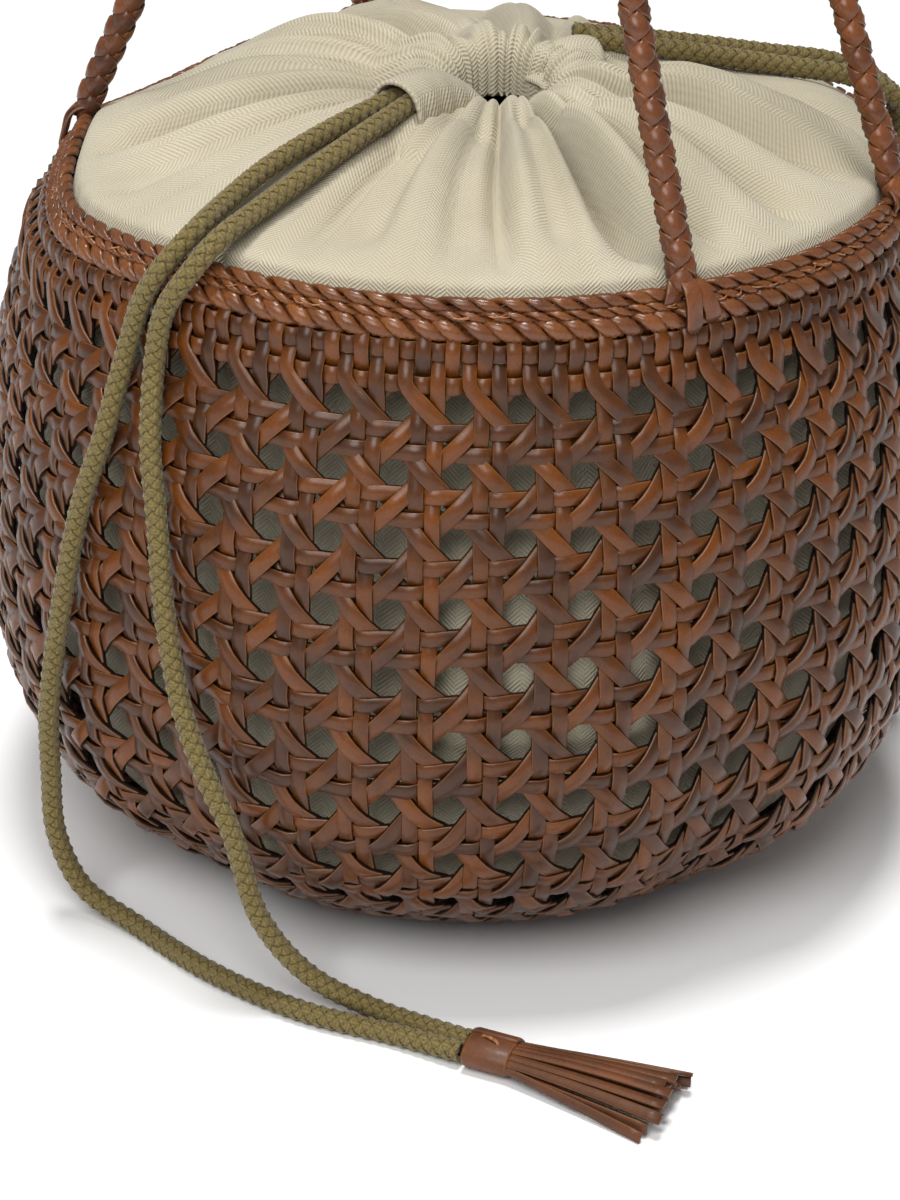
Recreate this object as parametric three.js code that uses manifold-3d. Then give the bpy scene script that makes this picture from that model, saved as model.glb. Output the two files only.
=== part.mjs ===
// Round bucket bag of woven leather strips with a drawstring pouch of herringbone canvas.
// Millimetres, +Z up. The bag stands on Z = 0 with its axis on X = Y = 0 and its front towards -Y.

import * as THREE from 'three';
import { mergeVertices } from 'three/addons/utils/BufferGeometryUtils.js';
import Module from 'manifold-3d';

const wasm = await Module();
wasm.setup();
const { Manifold, Mesh } = wasm;

// Woven wall: outer radius at heights from the rim down to the edge of the flat base.
const WALL_PROFILE = [
  { z: 198.6, r: 118.6 },
  { z: 174.7, r: 122.5 },
  { z: 148.9, r: 129.0 },
  { z: 119.1, r: 132.6 },
  { z: 89.4, r: 134.5 },
  { z: 59.6, r: 132.4 },
  { z: 31.8, r: 121.8 },
  { z: 11.9, r: 100.0 },
  { z: 0.0, r: 78.0 },
];
const WALL_THICKNESS = 3.0;

// Weave lattice: holes around, first hole row and row pitch measured down the wall from the rim.
const WEAVE_COLUMNS = 56;
const FIRST_ROW = 25.0;
const ROW_PITCH = 18.1;
const HOLE_ROWS = 9;
const PIERCED_ROWS = [1, 4, 7];
const HOLE_HALF_WIDTH = 3.4;
const HOLE_HALF_HEIGHT = 4.6;
const HOLE_SHOULDER = 0.45;
const BODY_TOP = 10.8;
const LOWER_RING = 203;

// Soft hollows down the wall, where the corners of the woven base pull it in.
const DENT_ANGLES = [270, 342, 90, 162];
const DENT_DEPTH = 5.0;
const DENT_HALF_ANGLE = 15;
const DENT_RISE = [2, 26];
const DENT_FADE = [70, 140];

// The soft rim stands lower at the back and sags on the left, where a handle's foot draws it in.
const BACK_DROP = { angle: 120, depth: 3.0 };
const SIDE_SAGS = [
  { angle: 184, halfAngle: 36, depth: 10.5 },
  { angle: 240, halfAngle: 34, depth: 3.5 },
];
const SIDE_PULL = { angle: 215, halfAngle: 34, depth: 8.0 };
const SAG_HEIGHTS = [80, 198];
const PULL_HEIGHTS = [174, 197];
const SOFT_RADII = [50, 105];

// Rim: twined row and twisted edging, stacked on the woven band.
const RIM_SEGMENTS = 36;
const RIM_SIDES = 6;
const TWINE = { r: 117.3, z: 191.3, halfDepth: 2.5, halfHeight: 2.8 };
const EDGING = { r: 115.7, z: 197.2, halfDepth: 2.8, halfHeight: 2.8 };

// Canvas pouch, from the turned-in mouth over the dome and down inside the wall.
const POUCH_PROFILE = [
  { r: 9.6, z: 206.0, fold: 0.4 },
  { r: 9.8, z: 213.4, fold: 0.5 },
  { r: 13.0, z: 218.4, fold: 0.7 },
  { r: 20.0, z: 218.8, fold: 1.1 },
  { r: 34.0, z: 217.4, fold: 1.5 },
  { r: 52.0, z: 216.0, fold: 1.6 },
  { r: 72.0, z: 212.4, fold: 1.4 },
  { r: 90.0, z: 207.8, fold: 0.9 },
  { r: 104.5, z: 203.6, fold: 0.3 },
  { r: 112.2, z: 199.2, fold: 0 },
  { r: 112.6, z: 192.0, fold: 0 },
  { r: 116.0, z: 176.0, fold: 0 },
  { r: 122.0, z: 62.0, fold: 0 },
  { r: 105.0, z: 25.0, fold: 0 },
  { r: 80.0, z: 8.0, fold: 0 },
  { r: 72.0, z: 3.6, fold: 0 },
];
const POUCH_DOME_ROWS = 11;
const POUCH_COLUMNS = 36;
const CANVAS_THICKNESS = 1.4;
const GATHER_CENTRE = { x: 8, y: 1 };
const GATHER_SHIFT_RADII = [20, 104];

// Handles: end angles on the rim, how far each tips along Y for its height, and the arch as a share
// of the half span with its height.
const HANDLES = [
  { name: 'handle_front', from: -152.5, to: -25.5, lean: 0.154 },
  { name: 'handle_back', from: 20, to: 145, lean: -0.05 },
];
const HANDLE_RADIUS = 4.0;
const HANDLE_SIDES = 8;
const HANDLE_STEPS = 20;
const HANDLE_FOOT_Z = 201.5;
const HANDLE_ARCH = [
  { share: 1.0, height: 0 },
  { share: 0.88, height: 30 },
  { share: 0.76, height: 60 },
  { share: 0.64, height: 90 },
  { share: 0.5, height: 117 },
  { share: 0.31, height: 138 },
  { share: 0.11, height: 147 },
];
const TAB_WIDTH = 9.0;
const TAB_THICKNESS = 1.6;
const TAB_PATH = [
  { r: 112.6, z: 200.5 },
  { r: 117.8, z: 200.5 },
  { r: 119.6, z: 198.0 },
  { r: 120.6, z: 193.0 },
  { r: 121.3, z: 187.0 },
  { r: 122.6, z: 179.0 },
];

// Drawstrings: braided cotton cord along hand-picked points from the gathers to the tassel.
const CORD_RADIUS = 2.7;
const CORD_SIDES = 8;
const CORD_STEPS = 19;
const CORD_ROUTES = {
  cord_front_a: [
    [4.4, -33, 222.2], [2.3, -62.3, 218.9], [0, -85.3, 213.9], [0.4, -101, 209.6], [3, -116.5, 206.2],
    [-1, -123.8, 198], [-6.5, -125.4, 188], [-10.5, -126, 176], [-15, -131.8, 150],
    [-21.5, -133.6, 130], [-28, -135.4, 98], [-34, -134.8, 67], [-36, -133, 45],
    [-35.5, -132, 25], [-29, -129, 9.5], [-12, -127, 3.6], [20, -131, 3.1], [50, -129.5, 3.1],
    [77, -121.8, 3.1], [95.7, -118.3, 4.2],
  ],
  cord_front_b: [
    [9.9, -38, 222], [11.6, -66.9, 218.1], [11.2, -87, 213.4], [10.4, -101, 209.6], [11, -116.5, 206.2],
    [7.5, -123.8, 198], [1.5, -125.6, 188], [-1, -126.5, 176], [2, -132.2, 154],
    [6.5, -135, 134], [10.5, -137.2, 112], [17, -138.2, 86], [25, -137.8, 68], [32, -136.2, 54],
    [39, -132.5, 28], [50, -125.5, 12], [65, -118, 4.6], [80, -114.2, 3.2], [94.3, -112.7, 4.2],
  ],
  cord_back_a: [
    [7.6, 33.1, 222.4], [27.4, 52, 219.6], [45.1, 74.5, 214.6], [56.4, 88.5, 211.4], [63.5, 98, 206.6],
    [68, 105.4, 198], [67.5, 107, 188], [67, 108.6, 176], [67.5, 114.4, 150],
    [68, 117, 130], [68, 120.5, 98], [66, 122.5, 67], [64, 124, 45], [61, 125.5, 24],
    [54, 128.5, 9.5], [38, 134, 3.6], [10, 138.5, 3.1], [-20, 138, 3.1], [-46, 132, 3.1],
    [-61.2, 124.9, 4.2],
  ],
  cord_back_b: [
    [14.5, 31.1, 222.4], [34.7, 47.5, 219.6], [52.7, 68.5, 214.4], [65.4, 81.5, 211.4], [73, 91, 206.6],
    [78, 98, 198], [78.5, 99.2, 188], [78, 100, 176], [81.5, 105, 150], [83.5, 106.6, 130],
    [85.5, 109, 98], [84, 111, 67], [81.5, 113.5, 45], [77, 117.5, 26], [68, 124.5, 12],
    [52, 135, 4.6], [22, 144, 3.1], [-14, 146, 3.1], [-46, 139.5, 3.1], [-63.8, 130.1, 4.2],
  ],
};

// Tassels: a rolled leather head on each pair of cord ends, with cut strips fanned over the floor.
const TASSELS = [
  { name: 'tassel_front', x: 95.4, y: -115.4, heading: 14.5 },
  { name: 'tassel_back', x: -62.9, y: 127.3, heading: 207.3 },
];
const HEAD_LENGTH = 13.0;
const HEAD_HALF_WIDTH = 6.2;
const HEAD_HALF_HEIGHT = 4.0;
const HEAD_SIDES = 10;
const HEAD_Z = 4.3;
const STRIP_LENGTH = 45.0;
const STRIP_WIDTH = 4.2;
const STRIP_THICKNESS = 1.3;
const STRIP_OVERLAP = 3.0;
const STRIP_LAYERS = [
  { fans: [-12, -6.5, -1, 4.5, 10], startZ: 1.9, endZ: 1.0, share: 1.0 },
  { fans: [-9, -3, 3, 8], startZ: 4.4, endZ: 3.4, share: 0.97 },
  { fans: [-5, 3], startZ: 6.9, endZ: 5.8, share: 0.93 },
];
const CORD_GAP = 0.3;

// Points nearer than this are one corner; a profile's length is read in this many steps.
const WELD_DISTANCE = 1e-4;
const ARC_DIVISIONS = 800;

// Colours, as sRGB.
const LEATHER = { color: 0x7d4a33, roughness: 0.5, metalness: 0 };
const RIM_LEATHER = { color: 0x6d3c2a, roughness: 0.42, metalness: 0 };
const CANVAS = { color: 0xdcd3b8, roughness: 0.9, metalness: 0 };
const CORD = { color: 0x6c6236, roughness: 0.85, metalness: 0 };

const radians = THREE.MathUtils.degToRad;
const smoothstep = THREE.MathUtils.smoothstep;

function turnBetween(angle, degrees) {
  const turn = angle - radians(degrees);
  return Math.abs(Math.atan2(Math.sin(turn), Math.cos(turn)));
}

function depthNear(angle, { angle: centre, halfAngle, depth }) {
  return depth * (1 - smoothstep(turnBetween(angle, centre), 0, radians(halfAngle)));
}

function sagAt(angle) {
  const back = BACK_DROP.depth * Math.max(Math.cos(turnBetween(angle, BACK_DROP.angle)), 0);
  return SIDE_SAGS.reduce((sum, sag) => sum + depthNear(angle, sag), back);
}

function pullAt(angle, z) {
  return depthNear(angle, SIDE_PULL) * smoothstep(z, ...PULL_HEIGHTS);
}

// A point round the bag, moved with the soft rim where it is high and far from the axis.
function ringPoint(angle, r, z) {
  const soft = smoothstep(r, ...SOFT_RADII);
  const reach = r - pullAt(angle, z) * soft;
  const drop = sagAt(angle) * smoothstep(z, ...SAG_HEIGHTS) * soft;
  return new THREE.Vector3(reach * Math.cos(angle), reach * Math.sin(angle), z - drop);
}

function moveWithRim(geometry) {
  const places = geometry.attributes.position;
  for (let k = 0; k < places.count; k++) {
    const [x, y] = [places.getX(k), places.getY(k)];
    const point = ringPoint(Math.atan2(y, x), Math.hypot(x, y), places.getZ(k));
    places.setXYZ(k, ...point.toArray());
  }
}

// A closed skin is gathered as loose triangles and welded into one geometry.
function weld(triangles) {
  const geometry = new THREE.BufferGeometry();
  const numbers = triangles.flat().flatMap((point) => point.toArray());
  geometry.setAttribute('position', new THREE.Float32BufferAttribute(numbers, 3));
  return mergeVertices(geometry, WELD_DISTANCE);
}

function quad(triangles, a, b, c, d) {
  triangles.push([a, b, c], [a, c, d]);
}

function toManifold(geometry) {
  const bare = geometry.clone();
  bare.deleteAttribute('normal');
  bare.deleteAttribute('uv');
  const merged = mergeVertices(bare, WELD_DISTANCE);
  return new Manifold(new Mesh({
    numProp: 3,
    vertProperties: Float32Array.from(merged.attributes.position.array),
    triVerts: Uint32Array.from(merged.index.array),
  }));
}

function fuse(geometries) {
  const mesh = Manifold.union(geometries.map(toManifold)).getMesh();
  const fused = new THREE.BufferGeometry();
  fused.setAttribute('position', new THREE.BufferAttribute(mesh.vertProperties, 3));
  fused.setIndex(new THREE.BufferAttribute(mesh.triVerts, 1));
  return fused;
}

function polygon(sides, halfWidth, halfHeight) {
  const points = [];
  for (let k = 0; k < sides; k++) {
    const turn = (2 * Math.PI * (k + 0.5)) / sides;
    points.push(new THREE.Vector2(halfWidth * Math.cos(turn), halfHeight * Math.sin(turn)));
  }
  return new THREE.Shape(points);
}

function tube(points, radius, sides, steps) {
  const path = new THREE.CatmullRomCurve3(points, false, 'centripetal');
  const geometry = new THREE.ExtrudeGeometry(polygon(sides, radius, radius), {
    extrudePath: path,
    steps,
    bevelEnabled: false,
  });
  geometry.deleteAttribute('normal');
  geometry.deleteAttribute('uv');
  return mergeVertices(geometry, WELD_DISTANCE);
}

// Woven wall as a surface: angle around, distance down the wall from the rim, depth into it.
const wallCurve = new THREE.SplineCurve(WALL_PROFILE.map((row) => new THREE.Vector2(row.r, row.z)));
wallCurve.arcLengthDivisions = ARC_DIVISIONS;
const WALL_LENGTH = wallCurve.getLength();

function dentAt(angle, z) {
  const height = smoothstep(z, ...DENT_RISE) * (1 - smoothstep(z, ...DENT_FADE));
  let depth = 0;
  for (const centre of DENT_ANGLES) {
    depth += 1 - smoothstep(turnBetween(angle, centre), 0, radians(DENT_HALF_ANGLE));
  }
  return DENT_DEPTH * depth * height;
}

function wallPoint(angle, down, depth) {
  const share = Math.min(down / WALL_LENGTH, 1);
  const point = wallCurve.getPointAt(share);
  const along = wallCurve.getTangentAt(share);
  const r = point.x - dentAt(angle, point.y) + depth * along.y;
  const z = point.y - depth * along.x;
  return ringPoint(angle, r, z);
}

// Corners of one hole, counter-clockwise seen from outside, as shares of its half sizes.
const HOLE_CORNERS = [
  [-1, -HOLE_SHOULDER], [-1, HOLE_SHOULDER], [-HOLE_SHOULDER, 1], [HOLE_SHOULDER, 1],
  [1, HOLE_SHOULDER], [1, -HOLE_SHOULDER], [HOLE_SHOULDER, -1], [-HOLE_SHOULDER, -1],
];

function piercedCell(triangles, cell, hole, faceIn) {
  for (let side = 0; side < 4; side++) {
    const a = cell[side];
    const b = cell[(side + 1) % 4];
    const first = hole[2 * side];
    const second = hole[2 * side + 1];
    const next = hole[(2 * side + 2) % 8];
    const faces = [[a, b, second], [a, second, first], [b, next, second]];
    for (const [p, q, s] of faces) triangles.push(faceIn ? [p, s, q] : [p, q, s]);
  }
}

function buildBody() {
  const triangles = [];
  const rings = [BODY_TOP];
  for (let row = 0; row < HOLE_ROWS; row++) rings.push(FIRST_ROW + (row + 0.5) * ROW_PITCH);
  rings.push(LOWER_RING, WALL_LENGTH);
  const step = (2 * Math.PI) / WEAVE_COLUMNS;
  for (let column = 0; column < WEAVE_COLUMNS; column++) {
    const from = column * step;
    const to = ((column + 1) % WEAVE_COLUMNS) * step;
    for (let ring = 0; ring + 1 < rings.length; ring++) {
      const cells = [0, WALL_THICKNESS].map((depth) => [
        wallPoint(from, rings[ring], depth),
        wallPoint(from, rings[ring + 1], depth),
        wallPoint(to, rings[ring + 1], depth),
        wallPoint(to, rings[ring], depth),
      ]);
      const place = PIERCED_ROWS.indexOf(ring);
      if (place < 0 || (column + place) % 2) {
        quad(triangles, ...cells[0]);
        quad(triangles, ...cells[1].slice().reverse());
        continue;
      }
      const middle = (rings[ring] + rings[ring + 1]) / 2;
      const radius = Math.hypot(cells[0][0].x, cells[0][0].y);
      const holes = [0, WALL_THICKNESS].map((depth) => HOLE_CORNERS.map(([u, v]) => wallPoint(
        from + step / 2 + (u * HOLE_HALF_WIDTH) / radius,
        middle + v * HOLE_HALF_HEIGHT,
        depth,
      )));
      piercedCell(triangles, cells[0], holes[0], false);
      piercedCell(triangles, cells[1], holes[1], true);
      for (let k = 0; k < HOLE_CORNERS.length; k++) {
        const next = (k + 1) % HOLE_CORNERS.length;
        quad(triangles, holes[0][k], holes[0][next], holes[1][next], holes[1][k]);
      }
    }
    const outerEdge = [wallPoint(from, WALL_LENGTH, 0), wallPoint(to, WALL_LENGTH, 0)];
    const innerEdge = [from, to].map((angle) => wallPoint(angle, WALL_LENGTH, WALL_THICKNESS));
    triangles.push([outerEdge[0], new THREE.Vector3(0, 0, 0), outerEdge[1]]);
    triangles.push([innerEdge[0], innerEdge[1], new THREE.Vector3(0, 0, WALL_THICKNESS)]);
    quad(
      triangles,
      wallPoint(from, BODY_TOP, 0),
      wallPoint(to, BODY_TOP, 0),
      wallPoint(to, BODY_TOP, WALL_THICKNESS),
      wallPoint(from, BODY_TOP, WALL_THICKNESS),
    );
  }
  return weld(triangles);
}

function buildRing({ r, z, halfDepth, halfHeight }) {
  const section = polygon(RIM_SIDES, halfDepth, halfHeight).getPoints();
  section.push(section[0].clone());
  const profile = section.map((point) => new THREE.Vector2(r + point.x, point.y));
  const geometry = new THREE.LatheGeometry(profile, RIM_SEGMENTS);
  geometry.rotateX(Math.PI / 2);
  geometry.translate(0, 0, z);
  geometry.deleteAttribute('normal');
  geometry.deleteAttribute('uv');
  moveWithRim(geometry);
  return mergeVertices(geometry, WELD_DISTANCE);
}

function pouchPoint(row, column, depth) {
  const before = POUCH_PROFILE[Math.max(row - 1, 0)];
  const after = POUCH_PROFILE[Math.min(row + 1, POUCH_PROFILE.length - 1)];
  const along = new THREE.Vector2(after.r - before.r, after.z - before.z).normalize();
  const { r, z, fold } = POUCH_PROFILE[row];
  const lift = (column % 2 ? -fold : fold) - depth;
  const angle = (2 * Math.PI * (column % POUCH_COLUMNS)) / POUCH_COLUMNS;
  const point = ringPoint(angle, r - lift * along.y, z + lift * along.x);
  const shift = row >= POUCH_DOME_ROWS ? 0 : 1 - smoothstep(r, ...GATHER_SHIFT_RADII);
  point.x += GATHER_CENTRE.x * shift;
  point.y += GATHER_CENTRE.y * shift;
  return point;
}

function buildPouch() {
  const triangles = [];
  const last = POUCH_PROFILE.length - 1;
  const floorZ = POUCH_PROFILE[last].z;
  const floor = new THREE.Vector3(0, 0, floorZ);
  const lining = new THREE.Vector3(0, 0, floorZ + CANVAS_THICKNESS);
  for (let column = 0; column < POUCH_COLUMNS; column++) {
    const next = column + 1;
    for (let row = 0; row < last; row++) {
      for (const depth of [0, CANVAS_THICKNESS]) {
        const cell = [
          pouchPoint(row, column, depth),
          pouchPoint(row + 1, column, depth),
          pouchPoint(row + 1, next, depth),
          pouchPoint(row, next, depth),
        ];
        quad(triangles, ...(depth ? cell.reverse() : cell));
      }
    }
    const lip = [0, CANVAS_THICKNESS].map((depth) => [column, next].map(
      (place) => pouchPoint(0, place, depth),
    ));
    quad(triangles, lip[0][0], lip[0][1], lip[1][1], lip[1][0]);
    triangles.push([pouchPoint(last, column, 0), floor, pouchPoint(last, next, 0)]);
    triangles.push([
      pouchPoint(last, column, CANVAS_THICKNESS),
      pouchPoint(last, next, CANVAS_THICKNESS),
      lining,
    ]);
  }
  return weld(triangles);
}

// The strip ends that lap from the braid over the rim and down its outside.
function buildTab(angle) {
  const outline = TAB_PATH.map((row) => new THREE.Vector2(row.r, row.z));
  for (let k = TAB_PATH.length - 1; k >= 0; k--) {
    const before = TAB_PATH[Math.max(k - 1, 0)];
    const after = TAB_PATH[Math.min(k + 1, TAB_PATH.length - 1)];
    const along = new THREE.Vector2(after.r - before.r, after.z - before.z).normalize();
    outline.push(new THREE.Vector2(
      TAB_PATH[k].r - TAB_THICKNESS * along.y,
      TAB_PATH[k].z + TAB_THICKNESS * along.x,
    ));
  }
  const geometry = new THREE.ExtrudeGeometry(new THREE.Shape(outline), {
    depth: TAB_WIDTH,
    bevelEnabled: false,
  });
  geometry.translate(0, 0, -TAB_WIDTH / 2);
  geometry.rotateX(Math.PI / 2);
  geometry.rotateZ(angle);
  moveWithRim(geometry);
  return geometry;
}

function buildHandle({ from, to, lean }) {
  const feet = [from, to].map((angle) => ringPoint(radians(angle), EDGING.r, HANDLE_FOOT_Z));
  const middle = feet[0].clone().add(feet[1]).multiplyScalar(0.5);
  const half = feet[0].clone().sub(middle);
  const rising = HANDLE_ARCH.map(({ share, height }) => {
    const point = middle.clone().addScaledVector(half, share);
    return point.add(new THREE.Vector3(0, lean * height, height));
  });
  const falling = HANDLE_ARCH.map(({ share, height }) => {
    const point = middle.clone().addScaledVector(half, -share);
    return point.add(new THREE.Vector3(0, lean * height, height));
  });
  const braid = tube([...rising, ...falling.reverse()], HANDLE_RADIUS, HANDLE_SIDES, HANDLE_STEPS);
  return fuse([braid, buildTab(radians(from)), buildTab(radians(to))]);
}

function buildStrip(fan, startZ, endZ, share) {
  const length = STRIP_LENGTH * share + STRIP_OVERLAP;
  const strip = new THREE.BoxGeometry(length, STRIP_WIDTH, STRIP_THICKNESS);
  strip.translate(length / 2, 0, 0);
  strip.rotateY(Math.atan2(startZ - endZ, length));
  strip.rotateZ(radians(fan));
  const start = HEAD_LENGTH - STRIP_OVERLAP + CORD_GAP;
  const across = HEAD_HALF_WIDTH * Math.sin(radians(fan) * 2);
  strip.translate(start, across, startZ);
  return strip;
}

function buildTassel({ x, y, heading }) {
  const head = new THREE.ExtrudeGeometry(polygon(HEAD_SIDES, HEAD_HALF_HEIGHT, HEAD_HALF_WIDTH), {
    depth: HEAD_LENGTH,
    bevelEnabled: false,
  });
  head.rotateY(Math.PI / 2);
  head.translate(CORD_GAP, 0, HEAD_Z);
  const pieces = [head];
  for (const { fans, startZ, endZ, share } of STRIP_LAYERS) {
    for (const fan of fans) pieces.push(buildStrip(fan, startZ, endZ, share));
  }
  const tassel = fuse(pieces);
  tassel.rotateZ(radians(heading));
  tassel.translate(x, y, 0);
  return tassel;
}

const group = new THREE.Group();
group.name = 'bucket_bag';

function addPiece(name, geometry, look) {
  const mesh = new THREE.Mesh(geometry, new THREE.MeshStandardMaterial(look));
  mesh.name = name;
  group.add(mesh);
}

addPiece('basket_body', buildBody(), LEATHER);
addPiece('rim_twine', buildRing(TWINE), RIM_LEATHER);
addPiece('rim_edging', buildRing(EDGING), RIM_LEATHER);
addPiece('pouch', buildPouch(), CANVAS);
for (const handle of HANDLES) addPiece(handle.name, buildHandle(handle), LEATHER);
for (const [name, route] of Object.entries(CORD_ROUTES)) {
  const points = route.map((place) => new THREE.Vector3(...place));
  addPiece(name, tube(points, CORD_RADIUS, CORD_SIDES, CORD_STEPS), CORD);
}
for (const tassel of TASSELS) addPiece(tassel.name, buildTassel(tassel), LEATHER);

export default group;
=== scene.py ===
# %% [markdown]
# # A woven leather bucket bag
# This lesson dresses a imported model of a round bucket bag: a basket of flat leather strips in an
# open cane weave, a canvas pouch that is gathered to a small mouth, two braided handles and a
# pair of drawstrings that end in tassels. The model's solids give every size and place in metres,
# with Z up, so each Blender piece is made where its solid already stands.

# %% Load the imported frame
import math

import bpy
import numpy as np
from mathutils import Matrix


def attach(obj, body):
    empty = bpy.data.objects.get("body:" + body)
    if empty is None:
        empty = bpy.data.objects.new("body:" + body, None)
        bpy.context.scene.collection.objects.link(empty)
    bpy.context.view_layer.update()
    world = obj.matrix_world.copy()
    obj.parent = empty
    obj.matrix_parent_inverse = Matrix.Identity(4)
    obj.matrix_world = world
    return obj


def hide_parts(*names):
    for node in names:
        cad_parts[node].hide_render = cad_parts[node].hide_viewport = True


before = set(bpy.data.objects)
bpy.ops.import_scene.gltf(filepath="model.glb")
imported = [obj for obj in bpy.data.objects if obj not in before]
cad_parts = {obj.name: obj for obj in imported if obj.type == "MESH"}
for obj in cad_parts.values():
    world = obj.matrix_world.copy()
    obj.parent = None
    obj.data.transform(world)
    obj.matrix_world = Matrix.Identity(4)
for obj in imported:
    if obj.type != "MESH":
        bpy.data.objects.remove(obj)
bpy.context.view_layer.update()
MM = 0.001
chance = np.random.default_rng(7)
print("solids:", sorted(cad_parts))

# %% [markdown]
# ## Camera
# The photo was taken with a long lens from a little above the bag, turned to its right. A camera
# can be aimed by hand, but here its axes are worked out from the azimuth, the elevation and a
# slight roll, so that the same numbers can be used to check any point of the bag against the photo.

# %% Camera at the photo's angle
VIEW_AZIMUTH, VIEW_ELEVATION, VIEW_ROLL = (math.radians(a) for a in (38.0, 27.06, 1.4))
VIEW_DISTANCE = 1050 * MM
VIEW_TARGET = np.array([0, 0, 100 * MM])
OFFSET_RIGHT, OFFSET_UP = 3.4 * MM, 37.6 * MM
PHOTO_WIDTH, FOCAL_PIXELS, SENSOR_MM = 900, 3699, 36.0

sin_a, cos_a = math.sin(VIEW_AZIMUTH), math.cos(VIEW_AZIMUTH)
sin_e, cos_e = math.sin(VIEW_ELEVATION), math.cos(VIEW_ELEVATION)
level_right = np.array([cos_a, sin_a, 0])
backward = np.array([sin_a * cos_e, -cos_a * cos_e, sin_e])
level_up = np.cross(backward, level_right)
eye = VIEW_TARGET + backward * VIEW_DISTANCE - level_right * OFFSET_RIGHT - level_up * OFFSET_UP
right = math.cos(VIEW_ROLL) * level_right + math.sin(VIEW_ROLL) * level_up
up = math.cos(VIEW_ROLL) * level_up - math.sin(VIEW_ROLL) * level_right

camera = bpy.data.objects.new("camera", bpy.data.cameras.new("camera"))
camera.data.sensor_fit = "HORIZONTAL"
camera.data.sensor_width = SENSOR_MM
camera.data.lens = FOCAL_PIXELS / PHOTO_WIDTH * SENSOR_MM
axes = np.column_stack([right, up, backward, eye])
camera.matrix_world = Matrix(axes.tolist() + [[0, 0, 0, 1]])
bpy.context.scene.collection.objects.link(camera)
bpy.context.scene.camera = camera
print(f"camera lens {camera.data.lens:.0f} mm at {np.round(eye, 3).tolist()}")

# %% [markdown]
# ## Helpers for strips
# Nearly everything on this bag is a strip or strand that follows a line: woven straps, braids,
# twisted edging, cords. Curves with a bevel could do that, but a mesh lets each ring of points be
# set exactly and lets each strip carry its own tone. The helpers below make smooth lines, carry a
# steady frame along them, and join many swept strips into one mesh.

# %% Lines and frames
POINTS_PER_SPAN = 30
MOSTLY_UPRIGHT = 0.9


def unit(v):
    return v / np.linalg.norm(v, axis=-1, keepdims=True)


def ramp(low, high, x):
    """A smooth step: 0 below low and 1 above high."""
    t = np.clip((x - low) / (high - low), 0, 1)
    return t * t * (3 - 2 * t)


def lengths_along(line):
    """The distance from a line's start to each of its points."""
    return np.r_[0, np.cumsum(np.linalg.norm(np.diff(line, axis=0), axis=1))]


def even_line(line, step):
    """The same line with its points in even steps."""
    s = lengths_along(line)
    at = np.linspace(0, s[-1], max(int(round(s[-1] / step)), 2) + 1)
    return np.stack([np.interp(at, s, line[:, axis]) for axis in range(line.shape[1])], 1)


def mixed(a, b, start, end, t):
    """A point that goes from a to b while t goes from start to end."""
    return ((end - t) * a + (t - start) * b) / (end - start)


def flowing_line(points, step):
    """A smooth line that passes through all the points, in even steps."""
    p = np.asarray(points, float)
    p = np.vstack([2 * p[0] - p[1], p, 2 * p[-1] - p[-2]])
    pieces = []
    for a, b, c, d in zip(p, p[1:], p[2:], p[3:]):
        t1 = np.sqrt(np.linalg.norm(b - a))
        t2 = t1 + np.sqrt(np.linalg.norm(c - b))
        t3 = t2 + np.sqrt(np.linalg.norm(d - c))
        t = np.linspace(t1, t2, POINTS_PER_SPAN, endpoint=False)[:, None]
        ab = mixed(a, b, 0, t1, t)
        bc = mixed(b, c, t1, t2, t)
        cd = mixed(c, d, t2, t3, t)
        abc = mixed(ab, bc, 0, t2, t)
        bcd = mixed(bc, cd, t1, t3, t)
        pieces.append(mixed(abc, bcd, t1, t2, t))
    return even_line(np.vstack(pieces + [p[-2:-1]]), step)


def carried_frame(line):
    """Two side directions that follow an open line without twisting."""
    along = unit(np.gradient(line, axis=0))
    side = np.zeros_like(line)
    upright = abs(along[0, 2]) >= MOSTLY_UPRIGHT
    last = np.array([1.0, 0, 0]) if upright else np.array([0, 0, 1.0])
    for i, way in enumerate(along):
        last = last - way * last.dot(way)
        last = last / np.linalg.norm(last)
        side[i] = last
    return side, np.cross(along, side)


print("line helpers ready,", POINTS_PER_SPAN, "points to a span")

# %% Many swept strips as one mesh
TONE_SHIFT = 3.7


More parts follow.
